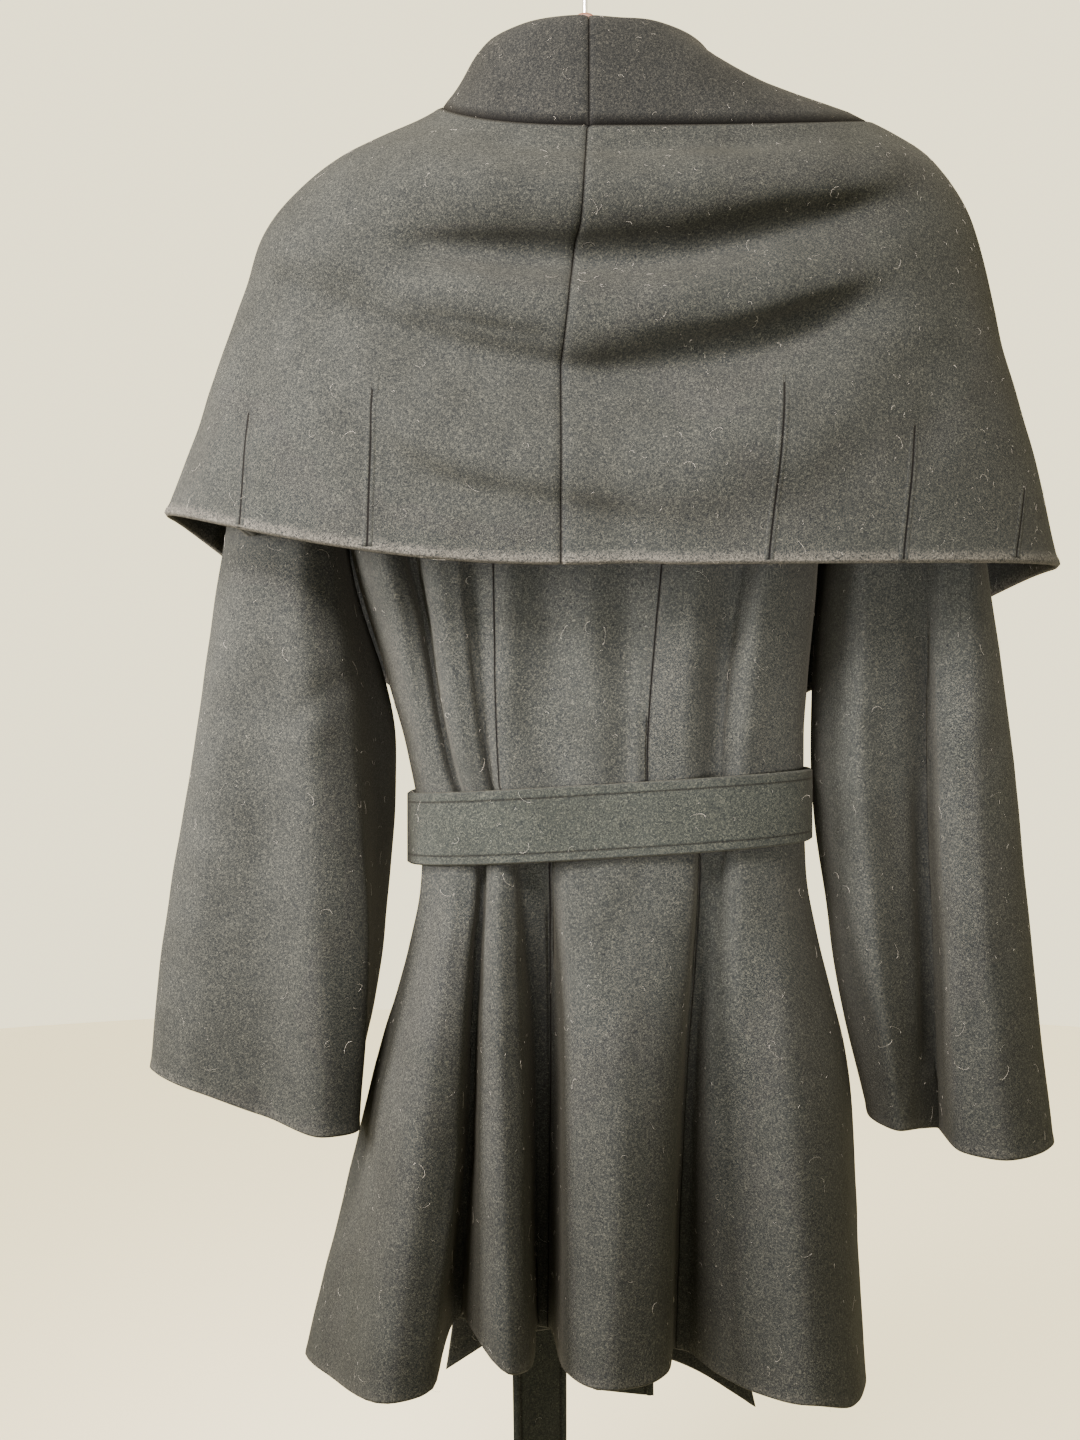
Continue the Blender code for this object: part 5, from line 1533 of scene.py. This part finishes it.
def seam_bead(name, surface, line, wool):
    """An ironed seam: two low swells with a fine ditch between them, laid on
    the back of the cloth along a line of x and z, and faded in at its top.
    The ditch gets painted shade."""
    steps = np.linspace(0, 1, 48)
    ring = [(-5.4, -1.4), (-3.2, 0.2), (-1.0, 0.55), (-0.4, 0.25), (0.4, 0.25), (1.0, 0.55),
            (3.2, 0.2), (5.4, -1.4), (0, -1.8)]
    bm = bmesh.new()
    seam_shade_layer = bm.verts.layers.float.new("seam")
    rings = []
    for step in steps:
        x, z = line[0] + (line[1] - line[0]) * step
        place, normal, _, _ = surface.ray_cast((x, 1.0, z), (0, -1, 0))
        if place is None:
            break
        place, normal = np.array(place), np.array(normal) * math.copysign(1, normal.y)
        side = unit(np.cross(normal, [0, 0, 1]))
        grow = smooth(step * 3 + 0.1)
        verts = [bm.verts.new(place + side * u * MM + normal * (v * grow - 0.1) * MM) for u, v in ring]
        # Painted shade in the ditch between the swells
        for vert, (u, _) in zip(verts, ring):
            vert[seam_shade_layer] = float(abs(u) < 1)
        rings.append(verts)
    for a, b in zip(rings[:-1], rings[1:]):
        for i in range(len(ring)):
            j = (i + 1) % len(ring)
            bm.faces.new((a[i], a[j], b[j], b[i]))
    bm.faces.new(rings[0])
    bm.faces.new(rings[-1][::-1])
    bmesh.ops.recalc_face_normals(bm, faces=bm.faces)
    add_on(finished(name, bm, wool))


def belt_path(angles, clear):
    """Points of the belt's middle line round the waist, from the front."""
    points = []
    for angle in angles:
        s, c = math.sin(angle), -math.cos(angle)
        deep = WAIST_BACK if c > 0 else WAIST_FRONT_OVER
        power = 2 / WAIST_SQUARE
        x = WAIST_X + math.copysign(abs(s) ** power, s) * (WAIST_HALF + clear)
        y = math.copysign(abs(c) ** power, c) * (deep + clear)
        points.append((x, y, BELT_Z + BELT_TILT * (x - WAIST_X)))
    return np.array(points)


def belt_strips():
    """Name, middle line and direction across of each strip of the belt."""
    meet = math.asin(((KNOT_X - WAIST_X) / WAIST_HALF) ** (WAIST_SQUARE / 2))
    angles = np.linspace(meet, meet + 2 * math.pi, 43)
    angles[0] += BELT_END
    angles[-1] -= BELT_END
    path = belt_path(angles, BELT_CLEAR)
    path = through(path, np.linspace(0, 42, 260))
    yield "belt_loop", path, np.tile([0.0, 0.0, 1.0], (len(path), 1))
    for tail in TAILS:
        points = [(x, y, TAIL_TOP / MM if z is None else z) for x, y, z in tail.points]
        path = through(np.array(points) * MM, np.linspace(0, len(points) - 1, 120))
        turn = np.linspace(0.15, 1, len(path)) * tail.spin
        yield tail.name, path, np.column_stack([np.cos(turn), np.sin(turn), 0 * turn])


def strip(path, across):
    """A belt strip's grid, its normals, the relief of its stitched edges and
    how much painted shade darkens each point where the thread draws it in."""
    inset = bpy.context.scene.coat_sewing.inset
    near = inset + np.array([-2.2, -1.4, -0.8, -0.4, 0, 0.4, 0.8, 1.4]) * MM
    from_edge = np.concatenate([[0, 0.5 * MM, 1.4 * MM], near, np.linspace(8 * MM, BELT_WIDTH / 2, 8)])
    from_edge = np.concatenate([from_edge, from_edge[-2::-1]])
    side = np.sign(np.linspace(1, -1, len(from_edge)))
    steps = side * (BELT_WIDTH / 2 - from_edge)
    grid = np.array([path + across * step for step in steps])
    normals = grid_normals(grid)
    groove = np.exp(-((from_edge - inset) / (0.9 * MM)) ** 2)
    edge = np.exp(-((from_edge - inset * 0.45) / (1.9 * MM)) ** 2)
    relief = (edge * 0.6 - groove * 0.8) * MM
    thin = -0.9 * MM * np.exp(-(from_edge / (0.9 * MM)) ** 2)
    # Painted shade in the stitching's groove
    groove_shade = 0.75 * np.exp(-((from_edge - inset) / (0.7 * MM)) ** 2)
    return grid, normals, *[np.tile(row[:, None], (1, len(path))) for row in (relief + thin, groove_shade)]


GRIDS = {}


def the_body(plain=False):
    """The body's grid and normals, with or without its soft lines."""
    key = "plain" if plain else "creased"
    if key not in GRIDS:
        grid = body_grid()
        normals = grid_normals(grid)
        if not plain:
            grid = creased("body", grid, normals, grid * [0, 0, 1])
            normals = grid_normals(grid)
        at_ridge = np.abs(grid[0, :, 1]) < MM
        normals[0, at_ridge, 1] = 0
        normals[0] = unit(normals[0])
        GRIDS[key] = (grid, normals)
    return GRIDS[key]


def the_collar():
    """The collar's turns, grid and normals, with its soft lines."""
    if "collar" not in GRIDS:
        body, _ = the_body(plain=True)
        turns, grid = collar_grid(body)
        normals = grid_normals(grid)
        upright = grid * [0, 0, 1]
        band_rows, cape_rows = slice(BAND_STEPS + 1), slice(BAND_STEPS, None)
        cape = creased("cape", grid[cape_rows], normals[cape_rows], upright[cape_rows])
        band = creased("band", grid[band_rows], normals[band_rows], upright[band_rows])
        blend = smooth(np.linspace(0, 1, 9))[:, None, None]
        cape[:9] = cape[:9] * blend + grid[BAND_STEPS:BAND_STEPS + 9] * (1 - blend)
        band[-9:] = band[-9:] * blend[::-1] + grid[BAND_STEPS - 8:BAND_STEPS + 1] * (1 - blend[::-1])
        hold = smooth(np.linspace(0, 1, 13))[:, None, None]
        band[:13] = band[:13] * hold + grid[:13] * (1 - hold)
        grid = np.concatenate([band[:-1], cape])
        GRIDS["collar"] = (turns, grid, grid_normals(grid))
    return GRIDS["collar"]


def shared_material(name, make, **settings):
    """The material of that name, made when it is first asked for."""
    return bpy.data.materials.get(name) or make(name, **settings)


class COAT_PT_sidebar(bpy.types.Panel):
    """Builds the coat piece by piece"""

    bl_idname = "COAT_PT_sidebar"
    bl_label = "Wrap coat"
    bl_space_type = "VIEW_3D"
    bl_region_type = "UI"
    bl_category = "Wrap coat"

    def draw(self, context):
        for group in (context.scene.coat_cloth, context.scene.coat_sewing,
                      context.scene.coat_lint, context.scene.coat_stage):
            for key in group.__annotations__:
                self.layout.prop(group, key)
        for operator in OPERATORS:
            self.layout.operator(operator.bl_idname)


GROUPS = {"coat_cloth": CoatCloth, "coat_sewing": CoatSewing, "coat_lint": CoatLint,
          "coat_stage": CoatStage}
OPERATORS = [COAT_OT_stage, COAT_OT_body, COAT_OT_sleeves, COAT_OT_collar, COAT_OT_belt,
             COAT_OT_hanger, COAT_OT_sewing, COAT_OT_lint]


def register():
    for group in GROUPS.values():
        bpy.utils.register_class(group)
    for key, group in GROUPS.items():
        setattr(bpy.types.Scene, key, PointerProperty(type=group))
    for operator in OPERATORS:
        bpy.utils.register_class(operator)
    bpy.utils.register_class(COAT_PT_sidebar)


def unregister():
    bpy.utils.unregister_class(COAT_PT_sidebar)
    for operator in reversed(OPERATORS):
        bpy.utils.unregister_class(operator)
    for key, group in GROUPS.items():
        delattr(bpy.types.Scene, key)
        bpy.utils.unregister_class(group)


def main():
    register()
    bpy.ops.coat.stage()
    bpy.ops.coat.body()
    bpy.ops.coat.sleeves()
    bpy.ops.coat.collar()
    bpy.ops.coat.belt()
    bpy.ops.coat.hanger()
    bpy.ops.coat.sewing()
    bpy.ops.coat.lint()


if __name__ == "__main__":
    main()
